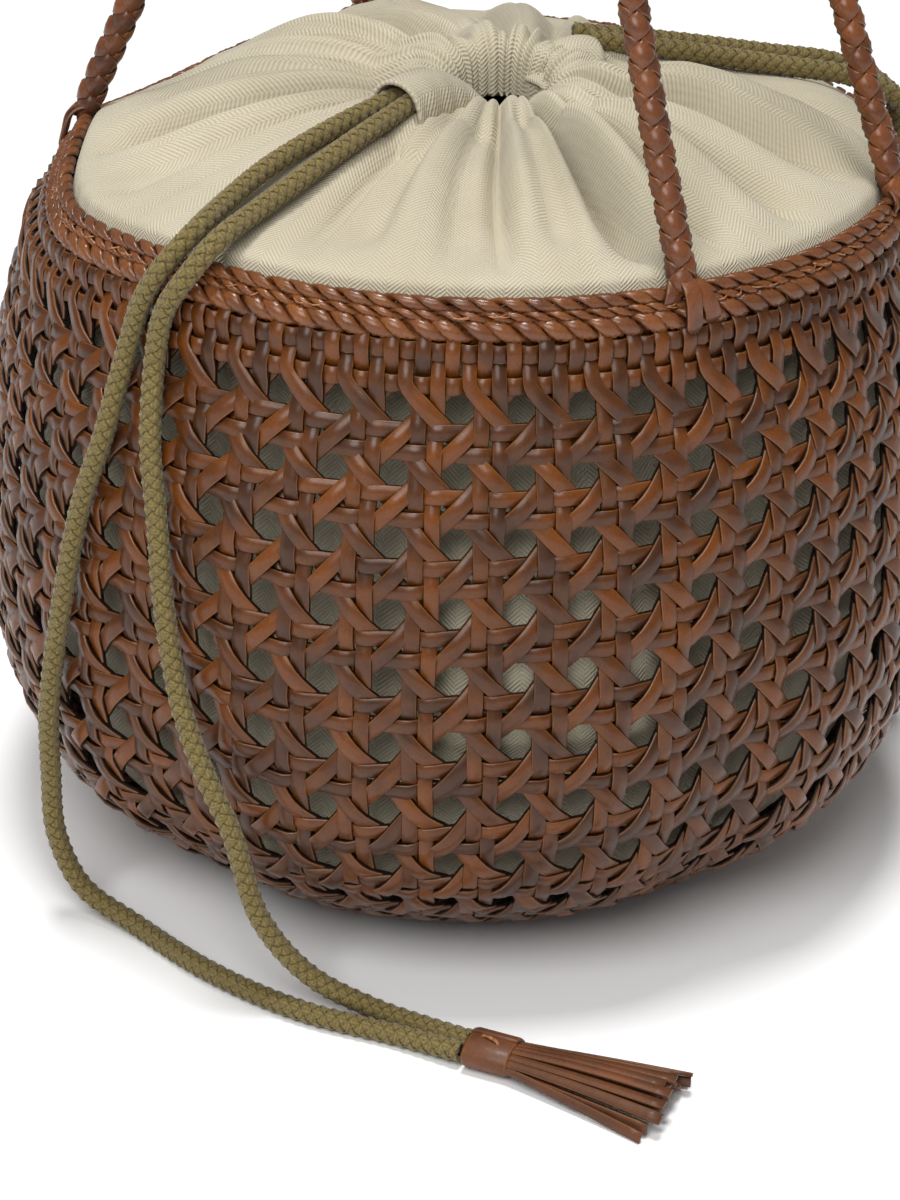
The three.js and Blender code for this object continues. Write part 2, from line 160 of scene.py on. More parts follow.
class Strips:
    """Collects rings of points, swept one after another, as one mesh object.

    A strip's rings run counter-clockwise seen from its far end. Each point keeps a place: how far
    along the strip it is in metres, how far across from -1 to 1, and the strip's own tone. The tone
    shifts the length too, so that no two strips show the same stretch of fibre.
    """

    def __init__(self):
        self.points, self.loops, self.sizes, self.places, self.count = [], [], [], [], 0

    def add(self, rings, across, tone, closed=False):
        count, sides, _ = rings.shape
        ring = np.arange(count if closed else count - 1)[:, None]
        corner = np.arange(sides)[None, :]
        beside = (corner + 1) % sides
        near, far = ring * sides, (ring + 1) % count * sides
        quads = np.stack([near + corner, near + beside, far + beside, far + corner], -1).reshape(-1, 4)
        self.loops.append(quads.ravel() + self.count)
        self.sizes.append(np.full(len(quads), 4))
        if not closed:
            ends = np.r_[np.arange(sides)[::-1], (count - 1) * sides + np.arange(sides)]
            self.loops.append(ends + self.count)
            self.sizes.append(np.array([sides, sides]))
        place = np.zeros((count, sides, 3))
        place[..., 0] = lengths_along(rings.mean(1))[:, None] + TONE_SHIFT * tone
        place[..., 1] = np.asarray(across)[None, :]
        place[..., 2] = tone
        self.points.append(rings.reshape(-1, 3))
        self.places.append(place.reshape(-1, 3))
        self.count += count * sides

    def lay(self, line, facing, half_width, half_height, section, tone, closed=False):
        """Sweeps a section along a line and adds it as a strip."""
        rings = swept(line, facing, half_width, half_height, section, closed)
        self.add(rings, section[:, 0], tone, closed)

    def build(self, name):
        points, loops, sizes = (np.concatenate(a) for a in (self.points, self.loops, self.sizes))
        mesh = bpy.data.meshes.new(name)
        mesh.vertices.add(len(points))
        mesh.vertices.foreach_set("co", points.astype(np.float32).ravel())
        mesh.loops.add(len(loops))
        mesh.loops.foreach_set("vertex_index", loops.astype(np.int32))
        mesh.polygons.add(len(sizes))
        mesh.polygons.foreach_set("loop_start", np.r_[0, np.cumsum(sizes)[:-1]].astype(np.int32))
        mesh.polygons.foreach_set("loop_total", sizes.astype(np.int32))
        mesh.polygons.foreach_set("use_smooth", np.ones(len(sizes), bool))
        mesh.update(calc_edges=True)
        place = mesh.attributes.new("strip_place", "FLOAT_VECTOR", "POINT")
        place.data.foreach_set("vector", np.concatenate(self.places).astype(np.float32).ravel())
        piece = bpy.data.objects.new(name, mesh)
        bpy.context.scene.collection.objects.link(piece)
        print(f"{name}: {int((sizes - 2).sum())} triangles")
        return piece


print("strip mesher ready")

# %% Sections to sweep
STRAP_SECTION = np.array([(-1, -0.8), (1, -0.8), (1, 0.35), (0.86, 1), (-0.86, 1), (-1, 0.35)])


def round_section(sides):
    turn = 2 * np.pi * np.arange(sides) / sides
    return np.stack([np.cos(turn), np.sin(turn)], 1)


def swept(line, facing, half_width, half_height, section, closed=False):
    """Rings of a section along a line, with its upper side to the facing direction."""
    if closed:
        along = unit(np.roll(line, -1, 0) - np.roll(line, 1, 0))
    else:
        along = unit(np.gradient(line, axis=0))
    across = unit(np.cross(facing, along))
    above = np.cross(along, across)
    a, b = section[:, 0], section[:, 1]
    half_width = np.broadcast_to(half_width, len(line))[:, None, None]
    return (line[:, None] + across[:, None] * a[None, :, None] * half_width
            + above[:, None] * b[None, :, None] * half_height)


print("strap section has", len(STRAP_SECTION), "corners")

# %% [markdown]
# ## Braids
# A round braid has two sets of strands that wind opposite ways round a core and pass over and
# under each other by turns. On the unrolled core both sets are straight lines, so each strand is
# laid out there, lifted by a cosine that changes sign at each crossing, and rolled back on to the
# line that the braid follows. Handles and drawstrings share this helper. A braid can also be rolled
# about its line, so that one row of its diamonds faces a given way.

# %% Round braid along a line
BRAID_STEP = 1.5 * MM
STRAND_SECTION = np.array([
    (-1, -0.6), (0, -0.6), (1, -0.6), (0.98, 0.4), (0.8, 0.9), (0, 1), (-0.8, 0.9), (-0.98, 0.4)])


def braid(strips, line, strands, lay_length, core, lift, half_width, half_height, steps, tones,
          faces=None):
    """Adds a braid's strands. One turn of a strand takes the lay length, in the given steps.

    A row of diamonds is rolled to a direction in faces, a sixth of the way back from the end.
    """
    s = lengths_along(line)
    side, other = carried_frame(line)
    near = -len(line) // 6
    roll = 0.0 if faces is None else math.atan2(other[near] @ faces, side[near] @ faces)
    each_way = strands // 2
    slope = 2 * np.pi * core / lay_length
    across = STRAND_SECTION[:, 0] * half_width / np.hypot(1, slope)
    t = np.linspace(0, s[-1], int(s[-1] / lay_length * steps) + 1)
    for way in (1, -1):
        at = np.clip(t[:, None] - way * slope * across[None, :], 0, s[-1])
        wave = way * lift * np.cos(2 * np.pi * each_way * t / lay_length)
        radius = core + wave[:, None] + STRAND_SECTION[None, :, 1] * half_height
        for strand in range(each_way):
            turn = way * 2 * np.pi * t / lay_length + 2 * np.pi * strand / each_way + roll
            turn = turn[:, None] + across[None, :] / core
            rings = np.zeros((len(t), len(STRAND_SECTION), 3))
            for axis in range(3):
                middle = np.interp(at, s, line[:, axis])
                sideways = np.cos(turn) * np.interp(at, s, side[:, axis])
                otherways = np.sin(turn) * np.interp(at, s, other[:, axis])
                rings[..., axis] = middle + radius * (sideways + otherways)
            strips.add(rings, STRAND_SECTION[:, 0], tones())


print("strand section has", len(STRAND_SECTION), "corners")

# %% [markdown]
# ## Drawstrings
# Two strands of braided cotton leave the gathers on each side of the mouth, cross the canvas, bend
# over the rim and fall to the floor, where they share a tassel. A simulated rope would settle
# somewhere of its own, so each strand follows listed points, in front from the photo. They
# are the same points as in the part's source, given in millimetres and turned into metres.

# %% Routes of the four strands
CORD_ROUTES = {
    "cord_front_a": [
        (4.4, -33, 222.2), (2.3, -62.3, 218.9), (0, -85.3, 213.9), (0.4, -101, 209.6), (3, -116.5, 206.2),
        (-1, -123.8, 198), (-6.5, -125.4, 188), (-10.5, -126, 176), (-15, -131.8, 150),
        (-21.5, -133.6, 130), (-28, -135.4, 98), (-34, -134.8, 67), (-36, -133, 45),
        (-35.5, -132, 25), (-29, -129, 9.5), (-12, -127, 3.6), (20, -131, 3.1), (50, -129.5, 3.1),
        (77, -121.8, 3.1), (95.7, -118.3, 4.2)],
    "cord_front_b": [
        (9.9, -38, 222), (11.6, -66.9, 218.1), (11.2, -87, 213.4), (10.4, -101, 209.6), (11, -116.5, 206.2),
        (7.5, -123.8, 198), (1.5, -125.6, 188), (-1, -126.5, 176), (2, -132.2, 154),
        (6.5, -135, 134), (10.5, -137.2, 112), (17, -138.2, 86), (25, -137.8, 68), (32, -136.2, 54),
        (39, -132.5, 28), (50, -125.5, 12), (65, -118, 4.6), (80, -114.2, 3.2), (94.3, -112.7, 4.2)],
    "cord_back_a": [
        (7.6, 33.1, 222.4), (27.4, 52, 219.6), (45.1, 74.5, 214.6), (56.4, 88.5, 211.4), (63.5, 98, 206.6),
        (68, 105.4, 198), (67.5, 107, 188), (67, 108.6, 176), (67.5, 114.4, 150),
        (68, 117, 130), (68, 120.5, 98), (66, 122.5, 67), (64, 124, 45), (61, 125.5, 24),
        (54, 128.5, 9.5), (38, 134, 3.6), (10, 138.5, 3.1), (-20, 138, 3.1), (-46, 132, 3.1),
        (-61.2, 124.9, 4.2)],
    "cord_back_b": [
        (14.5, 31.1, 222.4), (34.7, 47.5, 219.6), (52.7, 68.5, 214.4), (65.4, 81.5, 211.4), (73, 91, 206.6),
        (78, 98, 198), (78.5, 99.2, 188), (78, 100, 176), (81.5, 105, 150), (83.5, 106.6, 130),
        (85.5, 109, 98), (84, 111, 67), (81.5, 113.5, 45), (77, 117.5, 26), (68, 124.5, 12),
        (52, 135, 4.6), (22, 144, 3.1), (-14, 146, 3.1), (-46, 139.5, 3.1), (-63.8, 130.1, 4.2)],
}
cord_lines = {}
for name, points in CORD_ROUTES.items():
    cord_lines[name] = flowing_line(np.array(points) * MM, BRAID_STEP)
    print(f"{name}: {lengths_along(cord_lines[name])[-1]:.3f} m")

# %% Braid the strands
cords = {}
for name, line in cord_lines.items():
    strips = Strips()
    braid(strips, line, strands=8, lay_length=13.6 * MM, core=2.1 * MM, lift=0.42 * MM,
          half_width=1.2 * MM, half_height=0.54 * MM, steps=12, tones=lambda: chance.uniform(0, 1))
    cords[name] = strips.build(name + "_braid")

# %% [markdown]
# ## The wall as a surface
# The woven wall is a round form whose radius changes with height, softly pushed in where the
# corners of the woven base pull on it. Its rim is soft too: it stands lower at the back, sags on
# the left and is drawn in there by the foot of a handle. The strips need a surface to lie on, so
# these cells turn the wall's profile into a function: an angle round the bag and a distance down
# from the rim give a point and the direction that faces out.

# %% Soft rim
BACK_DROP_ANGLE, BACK_DROP = math.radians(120), 3.0 * MM
# A soft place: its angle and half angle in degrees, and its depth in millimetres.
SIDE_SAGS = ((184, 36, 10.5), (240, 34, 3.5))
SIDE_PULL = (215, 34, 8.0)
SOFT_RADII = (50 * MM, 105 * MM)
DROP_HEIGHTS, PULL_HEIGHTS = (80 * MM, 198 * MM), (174 * MM, 197 * MM)


def turn_between(angle, centre):
    return np.abs((angle - centre + np.pi) % (2 * np.pi) - np.pi)


def depth_near(angle, place):
    """How deep a soft place is at an angle: full at its centre, and gone its half angle away."""
    centre, half_angle, depth = place
    away = turn_between(angle, math.radians(centre))
    return depth * MM * (1 - ramp(0, math.radians(half_angle), away))


def soft_rim(angle, r, z):
    """A radius and a height, moved with the soft rim. The base and the middle stay."""
    soft = ramp(*SOFT_RADII, r)
    drop = BACK_DROP * np.maximum(np.cos(angle - BACK_DROP_ANGLE), 0)
    drop = drop + sum(depth_near(angle, sag) for sag in SIDE_SAGS)
    pull = depth_near(angle, SIDE_PULL)
    return r - pull * ramp(*PULL_HEIGHTS, z) * soft, z - drop * ramp(*DROP_HEIGHTS, z) * soft


def round_points(angle, reach, level):
    """Points at angles round the bag, with their reach from its middle and their level."""
    return np.stack([reach * np.cos(angle), reach * np.sin(angle), level], -1)


print(f"rim drawn in by up to {SIDE_PULL[2]:.0f} mm on the left")

# %% Wall surface
WALL_PROFILE = np.array([
    (118.6, 198.6), (122.5, 174.7), (129.0, 148.9), (132.6, 119.1), (134.5, 89.4),
    (132.4, 59.6), (121.8, 31.8), (100.0, 11.9), (78.0, 0.0)]) * MM
WALL_STEP = 0.25 * MM
DENT_ANGLES = np.radians([270, 342, 90, 162])
DENT_DEPTH, DENT_HALF_ANGLE = 5.0 * MM, math.radians(15)
DENT_STARTS, DENT_ENDS = (2 * MM, 26 * MM), (70 * MM, 140 * MM)
PROFILE_POINTS_PER_SPAN = 60


def profile_line(points):
    """The smooth line through a profile's points, as the part's source draws it."""
    p = np.vstack([points[:1], points, points[-1:]])
    t = np.linspace(0, 1, PROFILE_POINTS_PER_SPAN, endpoint=False)[:, None]
    spans = []
    for a, b, c, d in zip(p, p[1:], p[2:], p[3:]):
        bend, twist = 2 * a - 5 * b + 4 * c - d, 3 * b - a - 3 * c + d
        spans.append(0.5 * (2 * b + (c - a) * t + bend * t**2 + twist * t**3))
    return np.vstack(spans + [points[-1:]])


wall_line = even_line(profile_line(WALL_PROFILE), WALL_STEP)
wall_down = lengths_along(wall_line)
wall_slope = unit(np.gradient(wall_line, axis=0))


def wall(angle, down, lift):
    """Points on the wall, lifted along the outward direction, and that direction."""
    r, z, dr, dz = (np.interp(down, wall_down, c) for c in (*wall_line.T, *wall_slope.T))
    height = ramp(*DENT_STARTS, z) * (1 - ramp(*DENT_ENDS, z))
    away = turn_between(angle[..., None], DENT_ANGLES)
    dent = DENT_DEPTH * height * (1 - ramp(0, DENT_HALF_ANGLE, away)).sum(-1)
    r, z = r - dent - lift * dz, z + lift * dr
    r, z = soft_rim(angle, r, z)
    return round_points(angle, r, z), round_points(angle, -dz, dr)


print(f"wall is {wall_down[-1] / MM:.0f} mm from rim to base")

# %% [markdown]
# ## The cane weave
# Six sets of strips make the open weave: pairs of uprights, pairs of rounds, and two sets of slants
# that cut the corners and leave eight-sided holes. Each strip is a line on the wall, and its lift
# follows a short list of crossings: over is out, under is in. Counting in holes keeps this simple:
# uprights pass half a column beside a hole, rounds half a row below it, and the slants step one
# column for each row. Above the holes uprights and slants run straight up through a plain band.

# %% Sizes of the weave
COLUMNS, LAST_ROW, STRIPS_PER_COLUMN = 50, 9, 4
COLUMN_ANGLE, WEAVE_PHASE = 2 * np.pi / COLUMNS, math.radians(1.0)
FIRST_ROW, ROW_PITCH, ROW_GROWTH = 26.6 * MM, 16.02 * MM, 0.328 * MM
STRAP_WIDTH, ROUND_WIDTH, SLANT_WIDTH, STRAP_THICKNESS = 4.1 * MM, 4.15 * MM, 4.45 * MM, 1.5 * MM
ROUND_SPACING, UPRIGHT_SPACING = 6.0 * MM, 4.35 * MM
OVER, SLANT_OVER, BAND_OVER = 0.95 * MM, 1.6 * MM, 1.4 * MM
BAND_ROUNDS = (11.9 * MM, 20.1 * MM)
BAND_WIDTH, BAND_ROUND_WIDTH = 3.9 * MM, 4.6 * MM
BAND_END_ROW, WEAVE_START_ROW = -0.4, -0.05
TOP_KEYS, TOP_LIFTS = [1.5 * MM, 7.0 * MM], [-2.0 * MM, -0.9 * MM]
WEAVE_END = 223.0 * MM
# A crossing: its part of a row, its shift from there, and the lift of a right-hand strip.
UPRIGHT_CROSSINGS = ((0, 0, 0), (0.5, -ROUND_SPACING / 2, -OVER), (0.5, ROUND_SPACING / 2, OVER))
SLANT_CROSSINGS = ((0, 0, SLANT_OVER), (0.5, 0, -SLANT_OVER))


def row_at(row):
    """Distance down to a row of holes. The rows open out a little towards the base."""
    return FIRST_ROW + row * ROW_PITCH + row * row * ROW_GROWTH


def rows_down(down):
    """The row, with its fraction, at a distance down."""
    return (np.sqrt(ROW_PITCH ** 2 + 4 * ROW_GROWTH * (down - FIRST_ROW)) - ROW_PITCH) / (2 * ROW_GROWTH)


def below_band(down):
    """0 in the plain-woven band and 1 in the open weave."""
    return ramp(row_at(BAND_END_ROW), row_at(WEAVE_START_ROW), down)


def crossings_down(hand, in_row):
    """Distances down a strip with its lift at each: at the rim, in the band and in every row."""
    keys = [*TOP_KEYS, *BAND_ROUNDS]
    lifts = [*TOP_LIFTS, -hand * BAND_OVER, hand * BAND_OVER]
    for row in range(LAST_ROW + 1):
        keys += [row_at(row + part) + shift for part, shift, _ in in_row]
        lifts += [hand * lift for _, _, lift in in_row]
    return np.array(keys + [WEAVE_END]), np.array(lifts + [0])


print(f"{COLUMNS} columns, pitch {ROW_PITCH / MM:.1f} mm")

# %% One hand-laid strip
WEAVE_LIFT = -1.5 * MM
HAND_WOBBLE, WOBBLE_STARTS, WIDTH_SPREAD = 0.28 * MM, (0, 6), (0.95, 1.05)
ROUND_WAVES, OPEN_WAVES = 9, 3
DIP, DIP_STARTS, DIP_ENDS = (-70, 28, 3.8), (45 * MM, 85 * MM), (150 * MM, 190 * MM)
TONE_SHAPE = (1.6, 1.8)


def eased(x, keys, lifts):
    """Lift between crossings, level at each one."""
    i = np.clip(np.searchsorted(keys, x) - 1, 0, len(keys) - 2)
    t = np.clip((x - keys[i]) / (keys[i + 1] - keys[i]), 0, 1)
    return lifts[i] + (lifts[i + 1] - lifts[i]) * t * t * (3 - 2 * t)


def between(keys, steps):
    """The keys with even steps between them."""
    spans = [np.linspace(a, b, steps, endpoint=False) for a, b in zip(keys, keys[1:])]
    return np.concatenate(spans + [keys[-1:]])


def strap(strips, angle, down, lift, tone, width, closed=False):
    """A strip that wanders a little, dips with its row, and is not quite as wide as the next."""
    waves = ROUND_WAVES if closed else OPEN_WAVES
    turn = np.linspace(0, 2 * np.pi, len(angle), endpoint=not closed)
    drift = HAND_WOBBLE * np.sin(waves * turn + chance.uniform(*WOBBLE_STARTS))
    if closed:
        down = down + drift
    else:
        angle = angle + drift / wall_line[0, 0]
    dip = depth_near(angle, DIP) * ramp(*DIP_STARTS, down) * (1 - ramp(*DIP_ENDS, down))
    line, out = wall(angle + WEAVE_PHASE, down + dip, lift + WEAVE_LIFT)
    width = width * chance.uniform(*WIDTH_SPREAD)
    strips.lay(line, out, width / 2, STRAP_THICKNESS / 2, STRAP_SECTION, tone, closed)


def strap_tone(low=0.0, high=1.0):
    return low + (high - low) * chance.beta(*TONE_SHAPE)


print(f"strips wander by {HAND_WOBBLE / MM:.2f} mm")

# %% Uprights in pairs
UPRIGHT_STEPS = 3
uprights = Strips()
for column in range(COLUMNS):
    for hand in (-1, 1):
        keys, lifts = crossings_down(hand, UPRIGHT_CROSSINGS)
        down = between(keys, UPRIGHT_STEPS)
        radius = np.interp(down, wall_down, wall_line[:, 0])
        paired = below_band(down)
        reach = paired * UPRIGHT_SPACING / 2 / radius + (1 - paired) * COLUMN_ANGLE / STRIPS_PER_COLUMN / 2
        width = BAND_WIDTH + (STRAP_WIDTH - BAND_WIDTH) * paired
        angle = column * COLUMN_ANGLE + hand * reach
        strap(uprights, angle, down, eased(down, keys, lifts), strap_tone(), width)
uprights = uprights.build("woven_uprights")

# %% Rounds in pairs
ROUND_STEPS = 3
rounds = Strips()


def lay_round(keys, lifts, down, width):
    angle = between(keys, ROUND_STEPS)[:-1]
    lift = eased(angle, keys, lifts)
    strap(rounds, angle, np.full_like(angle, down), lift, strap_tone(), width, closed=True)


for row in range(LAST_ROW + 1):
    for hand in (-1, 1):
        down = row_at(row + 0.5) + hand * ROUND_SPACING / 2
        reach = UPRIGHT_SPACING / 2 / np.interp(down, wall_down, wall_line[:, 0])
        keys, lifts = [], []
        for column in range(COLUMNS):
            middle = column * COLUMN_ANGLE
            keys += [middle - reach, middle + reach, middle + COLUMN_ANGLE / 2]
            lifts += [hand * OVER, -hand * OVER, 0]
        keys, lifts = np.array(keys + [keys[0] + 2 * np.pi]), np.array(lifts + [lifts[0]])
        lay_round(keys, lifts, down, ROUND_WIDTH)
for place, down in enumerate(BAND_ROUNDS):
    crossing = np.arange(STRIPS_PER_COLUMN * COLUMNS + 1)
    lifts = np.where((crossing + place) % 2, -BAND_OVER, BAND_OVER)
    lay_round((crossing + 0.5) * COLUMN_ANGLE / STRIPS_PER_COLUMN, lifts, down, BAND_ROUND_WIDTH)
rounds = rounds.build("woven_rounds")

# %% Two sets of slants
SLANT_STEPS = 5
SLANT_START, SLANT_BEND_ROW, BEND_SHARPNESS = 0.5 / STRIPS_PER_COLUMN, -0.375, 24
slants = {}
for name, hand in (("woven_slants_down", 1), ("woven_slants_up", -1)):
    strips = Strips()
    keys, lifts = crossings_down(hand, SLANT_CROSSINGS)
    down = between(keys, SLANT_STEPS)
    bend = (rows_down(down) - SLANT_BEND_ROW) * BEND_SHARPNESS
    step = SLANT_START + np.logaddexp(0, bend) / BEND_SHARPNESS
    width = BAND_WIDTH + (SLANT_WIDTH - BAND_WIDTH) * below_band(down)
    for column in range(COLUMNS):
        angle = (column + 0.5 + hand * step) * COLUMN_ANGLE
        strap(strips, angle, down, eased(down, keys, lifts), strap_tone(), width)
    slants[name] = strips.build(name)

# %% [markdown]
# ## Rim
# A twined row of rounded knuckles closes the band, a slim rope of two strips finishes the edge, and
# a small binding fills the groove between them. All are pairs of strands twisted round each other
# along a ring, so one helper makes them with their own count of turns. A fine copper thread is
# bound in too. It shows here and there as short glints, so it is a scatter of small arcs whose ends
# dip out of sight.

# %% Twisted rings
STEPS_PER_TURN, RING_STRANDS, RING_SECTION = 10, 2, round_section(8)
UNEVEN, UNEVEN_WAVES, RING_TONES = 0.5, 7, (0.4, 0.6)


def twisted_ring(name, radius, height, turns, offset, half_width, half_height):
    """Two strands that wind round each other along a ring, with an uneven pace as by hand."""
    strips = Strips()
    turn = np.linspace(0, 2 * np.pi, abs(turns) * STEPS_PER_TURN, endpoint=False)
    out = np.stack([np.cos(turn), np.sin(turn), 0 * turn], 1)
    rise = np.array([0, 0, 1.0])
    reach, level = soft_rim(turn, radius, height)
    for k in range(RING_STRANDS):
        phase = turns * turn + 2 * np.pi * k / RING_STRANDS + UNEVEN * np.sin(UNEVEN_WAVES * turn + k)
        way = np.cos(phase)[:, None] * out + np.sin(phase)[:, None] * rise
        line = out * reach[:, None] + rise * level[:, None] + way * offset
        strips.lay(line, way, half_width, half_height, RING_SECTION, strap_tone(*RING_TONES), closed=True)
    return strips.build(name)


RIM_EDGE_RADIUS = 115.7 * MM
edging = twisted_ring("rim_edging_rope", RIM_EDGE_RADIUS, height=197.7 * MM, turns=-58,
                      offset=1.2 * MM, half_width=1.6 * MM, half_height=0.95 * MM)
binding = twisted_ring("rim_binding", radius=117.1 * MM, height=195.2 * MM, turns=-70,
                       offset=0.95 * MM, half_width=1.1 * MM, half_height=0.8 * MM)
twine = twisted_ring("rim_twine_row", radius=117.6 * MM, height=191.8 * MM, turns=-60,
                     offset=1.75 * MM, half_width=2.15 * MM, half_height=1.45 * MM)

# %% Glints of copper thread
THREAD_RADIUS, THREAD_HEIGHT, THREAD_HALF = 117.9 * MM, 195.6 * MM, 0.22 * MM
THREAD_SECTION = round_section(6)
GLINTS, GLINT_POINTS, GLINT_LENGTHS_MM = 110, 9, (3, 7)
GLINT_RISE_MM, GLINT_SINK_MM, GLINT_TILT_MM, GLINT_SPREAD_MM = 1.6, 0.6, 1.5, 0.5
thread = Strips()
t = np.linspace(0, 1, GLINT_POINTS)
for place in chance.uniform(0, 2 * np.pi, GLINTS):
    turn = place + chance.uniform(*GLINT_LENGTHS_MM) * MM / THREAD_RADIUS * (t - 0.5)
    reach, level = soft_rim(turn, THREAD_RADIUS, THREAD_HEIGHT)
    reach = reach + (GLINT_RISE_MM * np.sin(np.pi * t) - GLINT_SINK_MM) * MM
    level = level + chance.uniform(-GLINT_TILT_MM, GLINT_TILT_MM) * MM * (t - 0.5)
    level = level + chance.uniform(-GLINT_SPREAD_MM, GLINT_SPREAD_MM) * MM
    line = round_points(turn, reach, level)
    upward = np.tile([0, 0, 1.0], (len(t), 1))
    thread.lay(line, upward, THREAD_HALF, THREAD_HALF, THREAD_SECTION, chance.uniform(0, 1))
thread = thread.build("rim_thread")

# %% [markdown]
# ## Base
# Nobody sees the underside in the photo, so it is finished plainly: flat strips in a plain weave,
# cut to a disc, with a twined row round its edge that the uprights run into.

# %% Plain-woven base
BASE_RADIUS, BASE_PITCH, BASE_HEIGHT = 76 * MM, 6.0 * MM, 1.9 * MM
BASE_WAVE, BASE_HALF_WIDTH, BASE_HALF_THICKNESS = 0.55 * MM, 2.7 * MM, 0.5 * MM
STRIPS_EACH_SIDE = 12
base = Strips()
for across_x in (True, False):
    for place in np.arange(-STRIPS_EACH_SIDE, STRIPS_EACH_SIDE + 1):
        reach = math.sqrt(BASE_RADIUS**2 - (place * BASE_PITCH)**2)
        along = np.arange(-reach, reach, BASE_PITCH / 3)
        wave = np.cos(np.pi * (along / BASE_PITCH + place)) * (1 if across_x else -1)
        level = BASE_HEIGHT + BASE_WAVE * wave
        fixed = np.full_like(along, place * BASE_PITCH)
        line = np.stack([along, fixed, level] if across_x else [fixed, along, level], 1)
        downward = np.tile([0, 0, -1.0], (len(line), 1))
        base.lay(line, downward, BASE_HALF_WIDTH, BASE_HALF_THICKNESS, STRAP_SECTION, strap_tone())
base = base.build("woven_base")
base_ring = twisted_ring("base_twine_row", radius=78.5 * MM, height=2.9 * MM, turns=44,
                         offset=1.1 * MM, half_width=2.0 * MM, half_height=1.4 * MM)

# %% [markdown]
# ## Handles
# Each handle is a four-strand round braid in a tall arch, and both arches tip towards the middle of
# the bag. At the rim the strips part: one laps over the edging and on to the knuckles, and its
# neighbours tuck in beside it. So each foot gets three short straps that start inside the braid.

# %% Handle arches
# A handle: the angles of its two feet in degrees, and how far it leans for its height.
HANDLE_ENDS = {"handle_front": (-152.5, -25.5, 0.154), "handle_back": (145, 20, -0.05)}
HANDLE_FOOT, HANDLE_TONES = 201.5 * MM, (0.2, 0.9)
# A point of the arch: its share of the half span, and its height over the foot in millimetres.
HALF_ARCH = np.array([
    (1.0, -2.6), (1.0, 0), (0.88, 30), (0.76, 60), (0.64, 90), (0.5, 117), (0.31, 138), (0.11, 147)])
handles, feet = {}, []
for name, (start, end, lean) in HANDLE_ENDS.items():
    angles = np.radians([start, end])
    foot = round_points(angles, *soft_rim(angles, RIM_EDGE_RADIUS, HANDLE_FOOT))
    middle, half = foot.mean(0), foot[0] - foot.mean(0)
    arch = []
    for way, route in ((1, HALF_ARCH), (-1, HALF_ARCH[::-1])):
        arch += [middle + way * half * share + np.array([0, lean * h, h]) * MM for share, h in route]
    strips = Strips()
    braid(strips, flowing_line(arch, BRAID_STEP), strands=4, lay_length=14.0 * MM, core=2.7 * MM,
          lift=0.75 * MM, half_width=2.65 * MM, half_height=0.7 * MM, steps=18,
          tones=lambda: strap_tone(*HANDLE_TONES), faces=backward)
    handles[name] = strips
    feet += [(name, a) for a in angles]
print("handle feet at", [round(math.degrees(a)) for _, a in feet])

# %% Lapped strips at each foot
# A point of a lap: sideways from the foot, reach from the bag's middle, and level, in millimetres.
LAPS = [
    [(-1.6, 116.0, 201), (-2.6, 117.6, 199.6), (-3.4, 118.4, 198), (-3.7, 118.0, 196.2),
     (-3.7, 116.6, 195.0)],
    [(1.6, 116.0, 201.6), (2.8, 118.6, 200.4), (4.0, 120.2, 198.4), (5.3, 121.0, 195.6),
     (6.4, 121.0, 192.4), (7.0, 119.6, 190.4)],
    [(0, 116.0, 202.4), (0.1, 118.8, 201.4), (0.3, 120.8, 199.6), (0.5, 121.7, 197.2),
     (0.7, 122.0, 194.4), (0.9, 121.9, 191.2), (1.0, 121.2, 188.8)]]
LAP_STEP, LAP_HALF_WIDTH, LAP_HALF_THICKNESS = 0.8 * MM, 2.2 * MM, 0.6 * MM
TIP_LENGTH, TIP_BLUNTNESS, LAP_TONES = 2.2 * MM, 0.2, (0.3, 0.8)
for name, angle in feet:
    for points in LAPS:
        route = flowing_line(np.array(points) * MM, LAP_STEP)
        turn = angle + route[:, 0] / RIM_EDGE_RADIUS
        reach, level = soft_rim(turn, route[:, 1], route[:, 2])
        line = round_points(turn, reach, level)
        slope = unit(np.gradient(np.stack([reach, level], 1), axis=0))
        facing = round_points(turn, -slope[:, 1], slope[:, 0])
        to_end = lengths_along(line)[-1] - lengths_along(line)
        rounded = LAP_HALF_WIDTH * np.sqrt(np.clip(TIP_BLUNTNESS + to_end / TIP_LENGTH, 0, 1))
        tone = strap_tone(*LAP_TONES)
        handles[name].lay(line, facing, rounded, LAP_HALF_THICKNESS, STRAP_SECTION, tone)
handles = {name: strips.build(name + "_braid") for name, strips in handles.items()}

# %% [markdown]
# ## Canvas pouch
# The pouch is one cloth that lines the basket, rises over the rim and is drawn together at a small
# mouth. Cloth simulation could gather it, but the photo's pleats have their own rhythm, so the
# cloth is a grid whose columns are set pleat by pleat: fine pleats at the mouth run into broad folds
# with round backs and sharp valleys, and both die out before the rim. Humps and creases are then set
# at places picked from the photo, and the cloth is kept calmer under the cords and at the back. The
# cords leave the gathers from under short sleeves, which are arches of the same cloth. Below the rim
# the pouch comes near the wall in a belly at the front and all along the sides and the back, where
# it shows pale through the holes, and hangs clear of it between them. A map of its own keeps the
# cloth's measure, so that the weave stays true in size and slips into the valleys.

